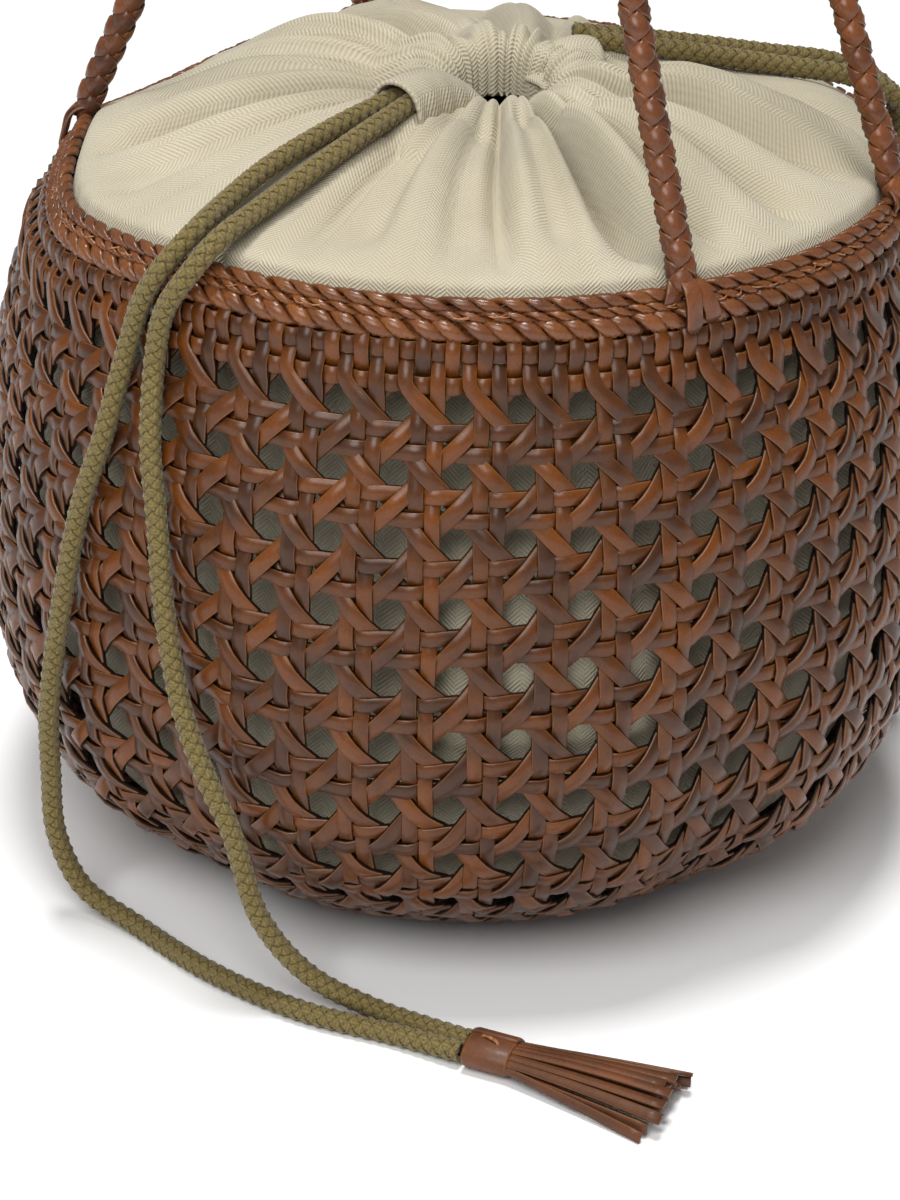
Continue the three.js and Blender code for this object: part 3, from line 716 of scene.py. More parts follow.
# %% Pouch rows
POUCH_PROFILE = np.array([
    (9.0, 205.0), (9.0, 211.0), (10.2, 216.8), (13.4, 220.2), (19.0, 221.3), (26.0, 219.9),
    (31.5, 217.0), (35.5, 215.6), (42.0, 216.6), (52.0, 216.0), (72.0, 212.4), (90.0, 207.8),
    (104.5, 204.2), (112.4, 200.4), (112.4, 192.0), (107.0, 176.0), (105.0, 150.0), (109.0, 120.0),
    (116.0, 62.0), (105.0, 25.0), (80.0, 8.0), (72.0, 4.2), (40.0, 4.0), (8.0, 4.0)]) * MM
PROFILE_RIM, POUCH_STEP = 13, 0.5 * MM
MOUTH_SHARE, MOUTH_ROWS, TOP_ROWS, LINING_ROWS = 0.36, 46, 36, 22
pouch_line = even_line(profile_line(POUCH_PROFILE), POUCH_STEP)
pouch_s = lengths_along(pouch_line)
rim_s = pouch_s[np.argmin(np.hypot(*(pouch_line - POUCH_PROFILE[PROFILE_RIM]).T))]
rows = np.r_[
    np.linspace(0, MOUTH_SHARE * rim_s, MOUTH_ROWS, endpoint=False),
    np.linspace(MOUTH_SHARE * rim_s, rim_s, TOP_ROWS, endpoint=False),
    np.linspace(rim_s, pouch_s[-1], LINING_ROWS)]
pouch_r, pouch_z = (np.interp(rows, pouch_s, c) for c in pouch_line.T)
slope_r, slope_z = (np.interp(rows, pouch_s, c) for c in unit(np.gradient(pouch_line, axis=0)).T)
radius_mm, height_mm = pouch_r / MM, pouch_z / MM
on_dome = rows <= rim_s
print(f"{len(rows)} rows, {on_dome.sum()} of them on the gathered top")

# %% Pouch columns
PLEATS, PLEAT_COLUMNS, PLEAT_WIDTHS = 40, 9, (0.7, 1.35)
# How many pleats run into each broad fold.
FOLD_PLEATS = (2, 2, 3, 2, 2, 1, 2, 3, 2, 2, 2, 3, 2, 2, 2, 3, 2, 1, 2)
FOLDS = len(FOLD_PLEATS)
widths = chance.uniform(*PLEAT_WIDTHS, PLEATS)
edges = np.r_[0, np.cumsum(widths)] / widths.sum() * 2 * np.pi
columns = PLEATS * PLEAT_COLUMNS
pleat = np.arange(columns) // PLEAT_COLUMNS
share = (np.arange(columns) % PLEAT_COLUMNS) / PLEAT_COLUMNS
pouch_angle = edges[pleat] + share * (edges[pleat + 1] - edges[pleat])
fold = np.repeat(np.arange(FOLDS), FOLD_PLEATS)[pleat]
fold_edges = edges[np.r_[0, np.cumsum(FOLD_PLEATS)]]
fold_share = (pouch_angle - fold_edges[fold]) / np.diff(fold_edges)[fold]
print(f"{columns} columns in {PLEATS} pleats and {FOLDS} broad folds")


# %% Where on the pouch
def near_angle(angle, full, none):
    """1 at columns within full degrees of an angle, and 0 beyond none degrees."""
    away = turn_between(pouch_angle, math.radians(angle))
    return 1 - ramp(math.radians(full), math.radians(none), away)


def on_top(by_row):
    """Values by row, kept on the gathered top alone."""
    return np.where(on_dome, by_row, 0)[:, None]


def inside(by_row):
    """Values by row, kept below the rim alone."""
    return np.where(on_dome, 0, by_row)[:, None]


print(f"{int((near_angle(-90, 0, 10) > 0).sum())} columns lie within 10 degrees of the front")

# %% Pleats and broad folds
PLEAT_RADII_MM = [7.5, 10, 16, 24, 34, 46, 60, 80, 98, 107]
PLEAT_HEIGHTS_MM = [0.8, 1.3, 1.7, 2.1, 2.6, 3.0, 3.0, 2.4, 1.2, 0]
FOLD_RADII_MM = [12, 18, 24, 36, 50, 66, 84, 100, 109]
FOLD_HEIGHTS_MM = [0, 3.0, 6.5, 11.5, 15.0, 15.0, 12.5, 7.0, 0]
PUFFS, LEANS, BACKS, VALLEY = (0.4, 1.4), (0.7, 1.5), (0.6, 1.25), 0.6
PUFF_ROUNDNESS, BACK_ROUNDNESS = 0.7, 0.9
REAR_ANGLE, REAR_REACH, REAR_CALM = 108, (20, 50), 0.6
CORD_BEDS, BED_REACH, BED_CALM = (-91, 59), (8, 24), 0.8
CALM_RADII_MM, MOST_CALM = (16, 28), 0.85
pleat_height = np.interp(radius_mm, PLEAT_RADII_MM, PLEAT_HEIGHTS_MM)[:, None] * MM
fold_height = np.interp(radius_mm, FOLD_RADII_MM, FOLD_HEIGHTS_MM)[:, None] * MM
puff = np.sin(np.pi * share) ** PUFF_ROUNDNESS * chance.uniform(*PUFFS, PLEATS)[pleat] - VALLEY
leaning = fold_share ** chance.uniform(*LEANS, FOLDS)[fold]
back = np.sin(np.pi * leaning) ** BACK_ROUNDNESS * chance.uniform(*BACKS, FOLDS)[fold] - VALLEY
calm = REAR_CALM * near_angle(REAR_ANGLE, *REAR_REACH)
for angle in CORD_BEDS:
    calm = calm + BED_CALM * near_angle(angle, *BED_REACH)
lively = on_top(1) * (1 - ramp(*CALM_RADII_MM, radius_mm)[:, None] * np.minimum(calm, MOST_CALM))
lift = (pleat_height * puff + fold_height * back) * lively
print(f"folds lift the cloth by {lift.min() / MM:.1f} to {lift.max() / MM:.1f} mm")

# %% Humps and creases at the photo's places
# A hump or hollow: its angle and half angle in degrees, its radius and its height in millimetres.
HUMPS = (
    (158, 13, 58, 4.0), (145, 8, 60, -8.0), (131, 10, 56, -1.0), (112, 14, 58, -1.0),
    (-150, 12, 62, 2.0), (20, 14, 60, 1.5), (108, 26, 98, -2.4), (42, 26, 94, 4.5), (-91, 22, 62, 2.2))
HUMP_REACH_MM = 26
# A crease: its angle and half angle in degrees, and its depth in millimetres.
CREASES = (
    (-69, 6, 6.0), (-54, 4, 2.5), (-39, 5, 6.0), (-29, 5, 4.5), (1, 6, 4.5), (-119, 6, 5.0),
    (-131, 4, 3.0), (-144, 6, 5.0), (-160, 5, 4.0))
CREASE_STARTS_MM, CREASE_ENDS_MM = (18, 36), (88, 109)
for angle, half_angle, radius, height in HUMPS:
    level = on_top(1 - ramp(0, HUMP_REACH_MM, np.abs(radius_mm - radius)))
    lift = lift + level * near_angle(angle, 0, half_angle) * height * MM
crease_depth = on_top(ramp(*CREASE_STARTS_MM, radius_mm) * (1 - ramp(*CREASE_ENDS_MM, radius_mm))) * MM
for angle, half_angle, depth in CREASES:
    lift = lift - crease_depth * depth * near_angle(angle, 0, half_angle)
print(f"{len(HUMPS)} humps and hollows, {len(CREASES)} creases")

# %% Casing for the cords and the lining below the rim
CORD_SLITS, SLIT_REACH, SLIT_TOP, SLIT_CALM = (-87, 82), (13, 26), 220.0 * MM, 0.7
CASING_STARTS_MM, CASING_ENDS_MM = (11, 24), (40, 54)
BELLY_ANGLE, BELLY_REACH, BELLY = -41, (8, 28), 16.5 * MM
BELLY_HEIGHT_MM, BELLY_FALL_MM = 104.0, (12, 54)
FRONT_ANGLE, SIDES_REACH, SIDES = math.radians(-56), (math.radians(34), math.radians(60)), 13.0 * MM
LINING_STARTS_MM, LINING_ENDS_MM = (66, 96), (170, 196)
casing = on_top(ramp(*CASING_STARTS_MM, radius_mm) * (1 - ramp(*CASING_ENDS_MM, radius_mm)))
casing = casing * (SLIT_TOP - pouch_z)[:, None]
for angle in CORD_SLITS:
    near = near_angle(angle, *SLIT_REACH)
    lift = lift * (1 - SLIT_CALM * near * (casing > 0)) + casing * near
belly = inside(1 - ramp(*BELLY_FALL_MM, np.abs(height_mm - BELLY_HEIGHT_MM)))
lift = lift + BELLY * belly * near_angle(BELLY_ANGLE, *BELLY_REACH)
lining = inside(ramp(*LINING_STARTS_MM, height_mm) * (1 - ramp(*LINING_ENDS_MM, height_mm)))
lift = lift + SIDES * lining * ramp(*SIDES_REACH, turn_between(pouch_angle, FRONT_ANGLE))
print(f"belly {BELLY / MM:.1f} mm, sides {SIDES / MM:.1f} mm nearer to the wall")

# %% Points of the cloth
GATHER_CENTRE, GATHER_RADII = np.array([8, 1]) * MM, (20 * MM, 104 * MM)
SWIRL, SWIRL_START, SWIRL_RADII_MM = math.radians(7), 0.7, (10, 100)
MOUTH_STRETCH, STRETCH_RADII_MM = 0.4, (8, 26)
MOUTH_TILT, TILT_RADII_MM = 4.5 * MM, (12, 36)
r = pouch_r[:, None] - slope_z[:, None] * lift
z = pouch_z[:, None] + slope_r[:, None] * lift
swirl = SWIRL * on_top(1 - ramp(*SWIRL_RADII_MM, radius_mm)) * np.sin(2 * pouch_angle + SWIRL_START)
turned = pouch_angle + swirl
x, y = r * np.cos(turned), r * np.sin(turned)
stretch = MOUTH_STRETCH * on_top(1 - ramp(*STRETCH_RADII_MM, radius_mm)) * (x * cos_a + y * sin_a)
pull = on_top(1 - ramp(*GATHER_RADII, pouch_r))
x = x + stretch * cos_a + GATHER_CENTRE[0] * pull
y = y + stretch * sin_a + GATHER_CENTRE[1] * pull
tilt = on_top(1 - ramp(*TILT_RADII_MM, radius_mm)) * np.sin(turned - VIEW_AZIMUTH)
far = np.hypot(x, y)
reach, z = soft_rim(np.arctan2(y, x), far, z + MOUTH_TILT * tilt)
pouch_points = np.stack([x * reach / far, y * reach / far, z], -1)
print(f"cloth stands up to {z.max() / MM:.1f} mm high")

# %% Sleeves over the cords
FRONT_SLEEVE = [(7.8, -11, 214.5), (7.6, -18, 221.0), (7.3, -28, 226.0), (7.2, -36, 227.0), (7.2, -43, 226.6)]
BACK_SLEEVE = [(11, 11, 214.0), (12, 16, 219.5), (13, 21, 222.6), (14.6, 26, 223.4), (16.8, 30.5, 222.6)]
# A sleeve: its route, and its half width at the start and at the end in millimetres.
SLEEVES = ((FRONT_SLEEVE, 5.0, 7.6), (BACK_SLEEVE, 4.0, 6.8))
SLEEVE_STEP, SLEEVE_FOOT, SLEEVE_COLUMNS, SLEEVE_COLUMN_MM = 1.2 * MM, 213.0 * MM, 16, 1.4
RUFFLE, RUFFLE_PACE, ARCH_FULLNESS = 0.04, 1.1, 0.55
sleeve_points, sleeve_quads, sleeve_uv = [], [], []
for route, narrow, wide in SLEEVES:
    axis = flowing_line(np.array(route) * MM, SLEEVE_STEP)
    count, first = len(axis), pouch_points.size // 3 + sum(map(len, sleeve_points))
    way = unit(np.gradient(axis[:, :2], axis=0))
    across = np.stack([-way[:, 1], way[:, 0], 0 * way[:, 0]], 1)
    ruffled = 1 + RUFFLE * np.sin(np.arange(count) * RUFFLE_PACE)
    half = np.linspace(narrow, wide, count)[:, None] * MM * ruffled[:, None]
    turn = np.linspace(0, np.pi, SLEEVE_COLUMNS)
    rise = SLEEVE_FOOT + (axis[:, 2:] - SLEEVE_FOOT) * np.sin(turn) ** ARCH_FULLNESS
    arch = axis[:, None] * [1, 1, 0] + across[:, None] * (half * np.cos(turn))[..., None]
    arch = arch + rise[..., None] * [0, 0, 1]
    sleeve_points.append(arch.reshape(-1, 3))
    grid = np.meshgrid(np.arange(count - 1), np.arange(SLEEVE_COLUMNS - 1), indexing="ij")
    a, b = (v.ravel() for v in grid)
    corners = [(a, b + 1), (a, b), (a + 1, b), (a + 1, b + 1)]
    sleeve_quads.append(np.stack([first + u * SLEEVE_COLUMNS + v for u, v in corners], 1))
    flat = [np.stack([v * SLEEVE_COLUMN_MM * MM, lengths_along(axis)[u]], 1) for u, v in corners]
    sleeve_uv.append(np.stack(flat, 1))
print(f"{len(SLEEVES)} sleeves, {sum(map(len, sleeve_quads))} faces")

# %% Pouch mesh
CLOTH_THICKNESS = 1.2 * MM
grid = np.meshgrid(np.arange(len(rows) - 1), np.arange(columns), indexing="ij")
row, column = (v.ravel() for v in grid)
beside = (column + 1) % columns
this, after = row * columns, (row + 1) * columns
quads = np.stack([this + column, after + column, after + beside, this + beside], 1)
bottom = [(len(rows) - 1) * columns + c for c in range(columns)][::-1]
mesh = bpy.data.meshes.new("pouch_cloth")
mesh.from_pydata(np.vstack([pouch_points.reshape(-1, 3), *sleeve_points]).tolist(), [],
                 np.vstack([quads, *sleeve_quads]).tolist() + [bottom])
mesh.polygons.foreach_set("use_smooth", np.ones(len(mesh.polygons), bool))
pouch = bpy.data.objects.new("pouch_cloth", mesh)
bpy.context.scene.collection.objects.link(pouch)
thick = pouch.modifiers.new("thickness", "SOLIDIFY")
thick.thickness = CLOTH_THICKNESS
thick.offset = -1
print(f"pouch_cloth: {len(mesh.polygons)} faces before its thickness")

# %% Map of the cloth's own measure
CLOTH_RADIUS, NARROWEST = 111 * MM, 12 * MM
girth_radius = np.maximum(pouch_r, NARROWEST)


def cloth_place(row, column, step):
    """Metres across and along the flat cloth, at a column's left edge or one step on."""
    first, last = edges[pleat[column]], edges[pleat[column] + 1]
    angle = first + (share[column] + step / PLEAT_COLUMNS) * (last - first)
    centre = (first + last) / 2
    return np.stack([centre * CLOTH_RADIUS + (angle - centre) * girth_radius[row], rows[row]], 1)


corners = ((row, 0), (row + 1, 0), (row + 1, 1), (row, 1))
uv = np.stack([cloth_place(at, column, step) for at, step in corners], 1)
uv = np.vstack([uv, *sleeve_uv])
flat_uv = np.zeros((len(mesh.loops), 2))
flat_uv[:uv.shape[0] * 4] = uv.reshape(-1, 2)
flat_map = mesh.uv_layers.new(name="cloth")
flat_map.data.foreach_set("uv", flat_uv.astype(np.float32).ravel())
print(f"cloth map is {np.ptp(flat_uv[:, 0]):.2f} m by {np.ptp(flat_uv[:, 1]):.2f} m")

# %% [markdown]
# ## Tassels
# A tassel is a small sheet of leather, cut into strips and rolled round the ends of the cords. The
# rolled head is a short flattened tube with an overlapping seam and one copper stitch. The strips
# lie round the roll like staves and fan out over the floor, each with its own bend, and two loose
# ones fall further out. Each tassel is made lying along X and is then turned into its place.

# %% Rolled head
HEAD_LENGTH, HEAD_HALF_WIDTH, HEAD_HALF_HEIGHT, HEAD_HEIGHT = 13 * MM, 6.3 * MM, 4.1 * MM, 4.4 * MM
HEAD_WRAP, HEAD_POINTS, SEAM_ANGLE, ROLL_GROWTH = 2.25 * np.pi, 40, 0.6, 0.09
ROLL_WIDTH, ROLL_HEIGHT, HEAD_SETBACK, HEAD_TONE = 0.88, 0.84, 0.4 * MM, 0.45
STRIP_HALF_THICKNESS = 0.55 * MM


def roll_head(strips):
    turn = np.linspace(0, HEAD_WRAP, HEAD_POINTS)
    grow = 1 + ROLL_GROWTH * turn / np.pi
    across = HEAD_HALF_WIDTH * ROLL_WIDTH * grow * np.cos(turn + SEAM_ANGLE)
    above = HEAD_HALF_HEIGHT * ROLL_HEIGHT * grow * np.sin(turn + SEAM_ANGLE)
    middle = np.full(len(turn), HEAD_LENGTH / 2 + HEAD_SETBACK)
    line = np.column_stack([middle, across, HEAD_HEIGHT + above])
    facing = unit(np.column_stack([0 * turn, across, above]))
    strips.lay(line, facing, HEAD_LENGTH / 2, STRIP_HALF_THICKNESS, STRAP_SECTION, HEAD_TONE)


print(f"head {HEAD_LENGTH / MM:.0f} mm long")

# %% Fanned strips
FAN_HALF_WIDTH, FAN_HALF_HEIGHT, FAN_HEIGHT = 11.8 * MM, 5.6 * MM, 3.4 * MM
# A shell: its count of strips, its size in the fan, and how much shorter they are in millimetres.
SHELLS = ((9, 1.0, 0), (6, 0.66, 1.2), (3, 0.3, 2.0))
# A loose strip: its angle, size, shortening, and how much wider than the fan it falls.
LOOSE = [(math.radians(14), 1.0, 1.5, 1.25), (math.radians(176), 1.0, 4.0, 1.22)]
STRIP_LENGTH_MM, LENGTH_SPREAD_MM, STRIP_START = 45.5, 2.2, HEAD_LENGTH - 2.5 * MM
ROOT_WIDTH, ROOT_HEIGHT = 0.84 * HEAD_HALF_WIDTH, 0.72 * HEAD_HALF_HEIGHT
FLOOR_LEVEL = 1.7 * MM
STAVE_SPREAD, FAN_SPREAD, FAN_CURVE, BEND_MM, ROLL_SPREAD = 0.12, (0.95, 1.05), 1.15, (0.0, 1.0), 0.35
SIDE_SHARE, UPWARD_LEAN = 0.5, 0.15
STRIP_HALF_WIDTH_MM, STRIP_WIDENING_MM, STRIP_TONES = 0.95, 0.65, (0.25, 0.75)
STAVE_START, STAVE_END, GIRTH_POINTS, STRIP_POINTS = -20, 200, 200, 14
around = np.radians(np.linspace(STAVE_START, STAVE_END, GIRTH_POINTS))
girth = lengths_along(np.stack([FAN_HALF_WIDTH * np.cos(around), FAN_HALF_HEIGHT * np.sin(around)], 1))
s = np.linspace(0, 1, STRIP_POINTS)


def place_staves():
    """Each strip's angle round the fan, its size in it, how much shorter it is, and its looseness."""
    staves = []
    for count, size, shorter in SHELLS:
        for k in range(count):
            at = (k + 0.5 + chance.uniform(-STAVE_SPREAD, STAVE_SPREAD)) / count * girth[-1]
            staves.append((np.interp(at, girth, around), size, shorter, 1.0))
    return staves + LOOSE


def fan_strips(strips):
    for stave, size, shorter, loose in place_staves():
        length = (STRIP_LENGTH_MM - shorter + chance.uniform(-LENGTH_SPREAD_MM, LENGTH_SPREAD_MM)) * MM
        fan = FAN_HALF_WIDTH * chance.uniform(*FAN_SPREAD) * loose
        across = ROOT_WIDTH + (fan - ROOT_WIDTH) * s ** FAN_CURVE
        above = ROOT_HEIGHT + (FAN_HALF_HEIGHT - ROOT_HEIGHT) * s
        above = above + chance.uniform(*BEND_MM) * MM * np.sin(np.pi * s)
        level = HEAD_HEIGHT + (FAN_HEIGHT - HEAD_HEIGHT) * s + size * above * math.sin(stave)
        if loose != 1:
            level = level * (1 - s) + FLOOR_LEVEL * s
        level = np.maximum(level, FLOOR_LEVEL)
        line = np.column_stack([STRIP_START + length * s, size * across * math.cos(stave), level])
        roll = chance.uniform(-ROLL_SPREAD, ROLL_SPREAD) * s
        upward = np.full(len(s), math.sin(stave) + UPWARD_LEAN)
        facing = unit(np.column_stack([0 * s, SIDE_SHARE * math.cos(stave) + roll, upward]))
        half_width = (STRIP_HALF_WIDTH_MM + STRIP_WIDENING_MM * s) * MM
        tone = strap_tone(*STRIP_TONES)
        strips.lay(line, facing, half_width, STRIP_HALF_THICKNESS, STRAP_SECTION, tone)


print(f"{sum(shell[0] for shell in SHELLS)} strips in shells and {len(LOOSE)} loose ones")

# %% Tassels on the floor
# A tassel: where its head starts, in millimetres, and its heading in degrees.
TASSELS = {"tassel_front": (95.4, -115.4, 14.5), "tassel_back": (-62.9, 127.3, 207.3)}
STITCH = np.array([(3.6, 0.2, 7.4), (4.2, 0.2, 8.8), (6.5, -0.5, 9.1), (8.6, -1.2, 8.8), (9.2, -1.3, 7.4)])
STITCH_STEP, STITCH_HALF_WIDTH, STITCH_HALF_HEIGHT, STITCH_TONE = 0.4 * MM, 0.55 * MM, 0.5 * MM, 0.5
tassels, stitches = {}, {}
for name, (place_x, place_y, heading) in TASSELS.items():
    strips, stitch = Strips(), Strips()
    roll_head(strips)
    fan_strips(strips)
    line = flowing_line(STITCH * MM, STITCH_STEP)
    upward = np.tile([0, 0, 1.0], (len(line), 1))
    stitch.lay(line, upward, STITCH_HALF_WIDTH, STITCH_HALF_HEIGHT, THREAD_SECTION, STITCH_TONE)
    turned = Matrix.Rotation(math.radians(heading), 4, "Z")
    placed = Matrix.Translation((place_x * MM, place_y * MM, 0)) @ turned
    tassels[name] = strips.build(name + "_strips")
    tassels[name].data.transform(placed)
    stitches[name] = stitch.build(name + "_stitch")
    stitches[name].data.transform(placed)

# %% [markdown]
# ## Leather
# The strips are vegetable-tanned leather: each strip has its own brown, from dark to orange, with a
# worn line along each side, a fine pore grain and a thin coat of wax. Each strip's very edge is
# darkened as painted shade, for the gaps between strips. One node group makes the skin, and each
# leather uses it with its own two browns. Each strip's tone and place come from the mesh. The coat
# of wax is the same all over a leather, so it is set on the shader.

# %% Colour helper
def paint(code):
    """A colour code turned into the linear colour that Blender's sockets take."""
    channels = [int(code[i:i + 2], 16) / 255 for i in (1, 3, 5)]
    return (*[c / 12.92 if c <= 0.04045 else ((c + 0.055) / 1.055) ** 2.4 for c in channels], 1.0)


print("mid brown is", np.round(paint("#7c4a24"), 3).tolist())


# %% Node shorthand
class Tree:
    """Short calls for adding and joining nodes."""

    def __init__(self, tree):
        self.tree = tree

    def node(self, kind, **settings):
        made = self.tree.nodes.new(kind)
        for key, value in settings.items():
            setattr(made, key, value)
        return made

    def join(self, source, target):
        self.tree.links.new(source, target)

    def feed(self, target, value):
        """Sets a socket to a number or colour, or joins it to another socket."""
        if isinstance(value, (int, float, tuple)):
            target.default_value = value
        else:
            self.join(value, target)

    def math(self, operation, *values):
        """Plain arithmetic on sockets and numbers."""
        made = self.node("ShaderNodeMath", operation=operation)
        for slot, value in enumerate(values):
            self.feed(made.inputs[slot], value)
        return made.outputs[0]

    def blend(self, share, a, b):
        """Colour a at a share of 0, and colour b at 1."""
        made = self.node("ShaderNodeMix", data_type="RGBA")
        for slot, value in ((0, share), (6, a), (7, b)):
            self.feed(made.inputs[slot], value)
        return made.outputs[2]

    def noise(self, vector, scale, detail=3.0, roughness=0.55):
        """A cloudy pattern, from 0 to 1."""
        made = self.node("ShaderNodeTexNoise")
        made.inputs["Scale"].default_value = scale
        made.inputs["Detail"].default_value = detail
        made.inputs["Roughness"].default_value = roughness
        self.join(vector, made.inputs["Vector"])
        return made.outputs["Fac"]

    def spread(self, value, low, high, to_low=0.0, to_high=1.0):
        """A value's range from low to high, spread over another range."""
        made = self.node("ShaderNodeMapRange")
        for slot, number in ((1, low), (2, high), (3, to_low), (4, to_high)):
            made.inputs[slot].default_value = number
        self.join(value, made.inputs[0])
        return made.outputs[0]

    def spot(self):
        """The point's own place on its piece, in metres."""
        return self.node("ShaderNodeTexCoord").outputs["Object"]

    def strip_place(self):
        """How far along and across its strip a point is, and the strip's tone."""
        place = self.node("ShaderNodeAttribute", attribute_name="strip_place")
        parts = self.node("ShaderNodeSeparateXYZ")
        self.join(place.outputs["Vector"], parts.inputs[0])
        return parts.outputs

    def bump(self, shader, height, strength, distance):
        """Lets a height tilt the light on a shader's surface."""
        made = self.node("ShaderNodeBump")
        made.inputs["Strength"].default_value = strength
        made.inputs["Distance"].default_value = distance
        self.join(height, made.inputs["Height"])
        self.join(made.outputs[0], shader.inputs["Normal"])


print("node shorthand ready")


# %% New groups and finishes
def new_group(name, inputs, outputs):
    """A node group with its sockets, the shorthand for its nodes, and both its ends."""
    group = bpy.data.node_groups.new(name, "ShaderNodeTree")
    for label, kind, value in inputs:
        group.interface.new_socket(label, in_out="INPUT", socket_type=kind).default_value = value
    for label, kind in outputs:
        group.interface.new_socket(label, in_out="OUTPUT", socket_type=kind)
    tree = Tree(group)
    return group, tree, tree.node("NodeGroupInput").outputs, tree.node("NodeGroupOutput").inputs


def new_finish(name):
    """A new material, the shorthand for its nodes, and its shader."""
    material = bpy.data.materials.new(name)
    material.use_nodes = True
    return material, Tree(material.node_tree), material.node_tree.nodes["Principled BSDF"]


print("groups and finishes ready")

# %% Leather skin group
DUSKY_BROWN, WORN_BROWN = paint("#442611"), paint("#98612d")
# The darkest brown is painted shade, laid along each strip's very edge for the gaps between strips.
GAP_SHADE_BROWN, PORE_BROWN = paint("#180b06"), paint("#28150f")
leather_group, g, given, out = new_group(
    "Leather skin",
    [("Deep", "NodeSocketColor", paint("#54301f")), ("Warm", "NodeSocketColor", paint("#7c4a24")),
     ("Gloss", "NodeSocketFloat", 0.45), ("Edge", "NodeSocketFloat", 0.5), ("Gap Shade", "NodeSocketFloat", 0.8)],
    [("Color", "NodeSocketColor"), ("Roughness", "NodeSocketFloat"), ("Height", "NodeSocketFloat")])
_, across, tone = g.strip_place()
spot = g.spot()
cloudy = g.noise(spot, scale=90, detail=4)
smoky = g.noise(spot, scale=46, detail=2)
pores = g.noise(spot, scale=1500, detail=2, roughness=0.6)
creases = g.noise(spot, scale=420, detail=3, roughness=0.6)
shade = g.math("ADD", tone, g.spread(cloudy, 0.3, 0.7, -0.42, 0.42))
skin = g.blend(g.spread(shade, 0.05, 0.95), given["Deep"], given["Warm"])
dusky = g.blend(g.spread(smoky, 0.5, 0.72, 0, 0.45), skin, DUSKY_BROWN)
off_middle = g.math("ABSOLUTE", across)
worn = g.blend(g.math("MULTIPLY", g.spread(off_middle, 0.86, 0.91), given["Edge"]), dusky, WORN_BROWN)
# Painted shade: each strip darkens at its very edge, where it meets the gap beside it.
gap_shade = g.blend(g.math("MULTIPLY", g.spread(off_middle, 0.94, 0.985), given["Gap Shade"]), worn, GAP_SHADE_BROWN)
mottled = g.blend(g.spread(pores, 0.35, 0.7, 0.28, 0), gap_shade, PORE_BROWN)
g.join(mottled, out["Color"])
g.join(g.math("ADD", given["Gloss"], g.spread(creases, 0.3, 0.75, -0.09, 0.14)), out["Roughness"])
g.join(g.math("ADD", g.math("MULTIPLY", pores, 0.5), g.math("MULTIPLY", creases, 0.8)), out["Height"])
print("leather group:", len(leather_group.nodes), "nodes")


# %% Leather finishes
def leather(name, deep, warm, gloss, edge, gap_shade, wax=0.2):
    material, t, shader = new_finish(name)
    skin = t.node("ShaderNodeGroup", node_tree=leather_group)
    skin.inputs["Deep"].default_value = paint(deep)
    skin.inputs["Warm"].default_value = paint(warm)
    skin.inputs["Gloss"].default_value = gloss
    skin.inputs["Edge"].default_value = edge
    # How dark the painted shade along each strip's very edge is.
    skin.inputs["Gap Shade"].default_value = gap_shade
    t.join(skin.outputs["Color"], shader.inputs["Base Color"])
    t.join(skin.outputs["Roughness"], shader.inputs["Roughness"])
    t.bump(shader, skin.outputs["Height"], strength=0.35, distance=0.25 * MM)
    shader.inputs["Specular IOR Level"].default_value = 0.3
    shader.inputs["Coat Weight"].default_value = wax
    shader.inputs["Coat Roughness"].default_value = 0.2
    print(f"{name}: roughness about {gloss:.2f}, wax {wax:.2f}")
    return material


woven_leather = leather("woven leather", "#402108", "#713b05", gloss=0.4, edge=0.5, gap_shade=1.0)
rim_leather = leather("rim leather", "#633a24", "#8c552b", gloss=0.27, edge=0.0, gap_shade=0.35)
braid_leather = leather("braided leather", "#543121", "#854c27", gloss=0.33, edge=0.5, gap_shade=0.8)
tassel_leather = leather("tassel leather", "#563520", "#744528", gloss=0.5, edge=0.35, gap_shade=0.6, wax=0.08)

# %% [markdown]
# ## Canvas
# The pouch is herringbone twill: stripes about five millimetres wide whose fine ribs lean one way
# and then the other. The pouch's own map is in metres of cloth, so the ribs can be counted out in
# millimetres by plain arithmetic: a triangle wave across the stripe, added to the length.

# %% Herringbone group
STRIPE_WIDTH, RIB_PITCH, YARN_PITCH = 4.8 * MM, 1.25 * MM, 0.7 * MM
twill_group, g, given, out = new_group(
    "Herringbone twill",
    [("Place", "NodeSocketVector", (0, 0, 0)), ("Stripe", "NodeSocketFloat", STRIPE_WIDTH),
     ("Rib", "NodeSocketFloat", RIB_PITCH)],
    [("Rib Shade", "NodeSocketFloat"), ("Height", "NodeSocketFloat")])
parts = g.node("ShaderNodeSeparateXYZ")
g.join(given["Place"], parts.inputs[0])
across, along, _ = parts.outputs
stripes = g.math("DIVIDE", across, given["Stripe"])
zigzag = g.math("PINGPONG", stripes, 1.0)
lean = g.math("MULTIPLY", zigzag, g.math("DIVIDE", given["Stripe"], given["Rib"]))
offset = g.math("MULTIPLY", g.math("FLOOR", stripes), 0.5)
wave = g.math("ADD", g.math("ADD", g.math("DIVIDE", along, given["Rib"]), lean), offset)
rib = g.math("ADD", g.math("MULTIPLY", g.math("SINE", g.math("MULTIPLY", wave, 2 * math.pi)), 0.5), 0.5)
yarn = g.math("MULTIPLY", g.math("SINE", g.math("MULTIPLY", across, 2 * math.pi / YARN_PITCH)), 0.12)
fuzz = g.noise(given["Place"], scale=1400, detail=2)
g.join(g.math("ADD", g.math("MULTIPLY", rib, 0.8), g.math("MULTIPLY", fuzz, 0.35)), out["Rib Shade"])
g.join(g.math("ADD", g.math("ADD", rib, yarn), g.math("MULTIPLY", fuzz, 0.4)), out["Height"])
print("twill group:", len(twill_group.nodes), "nodes")

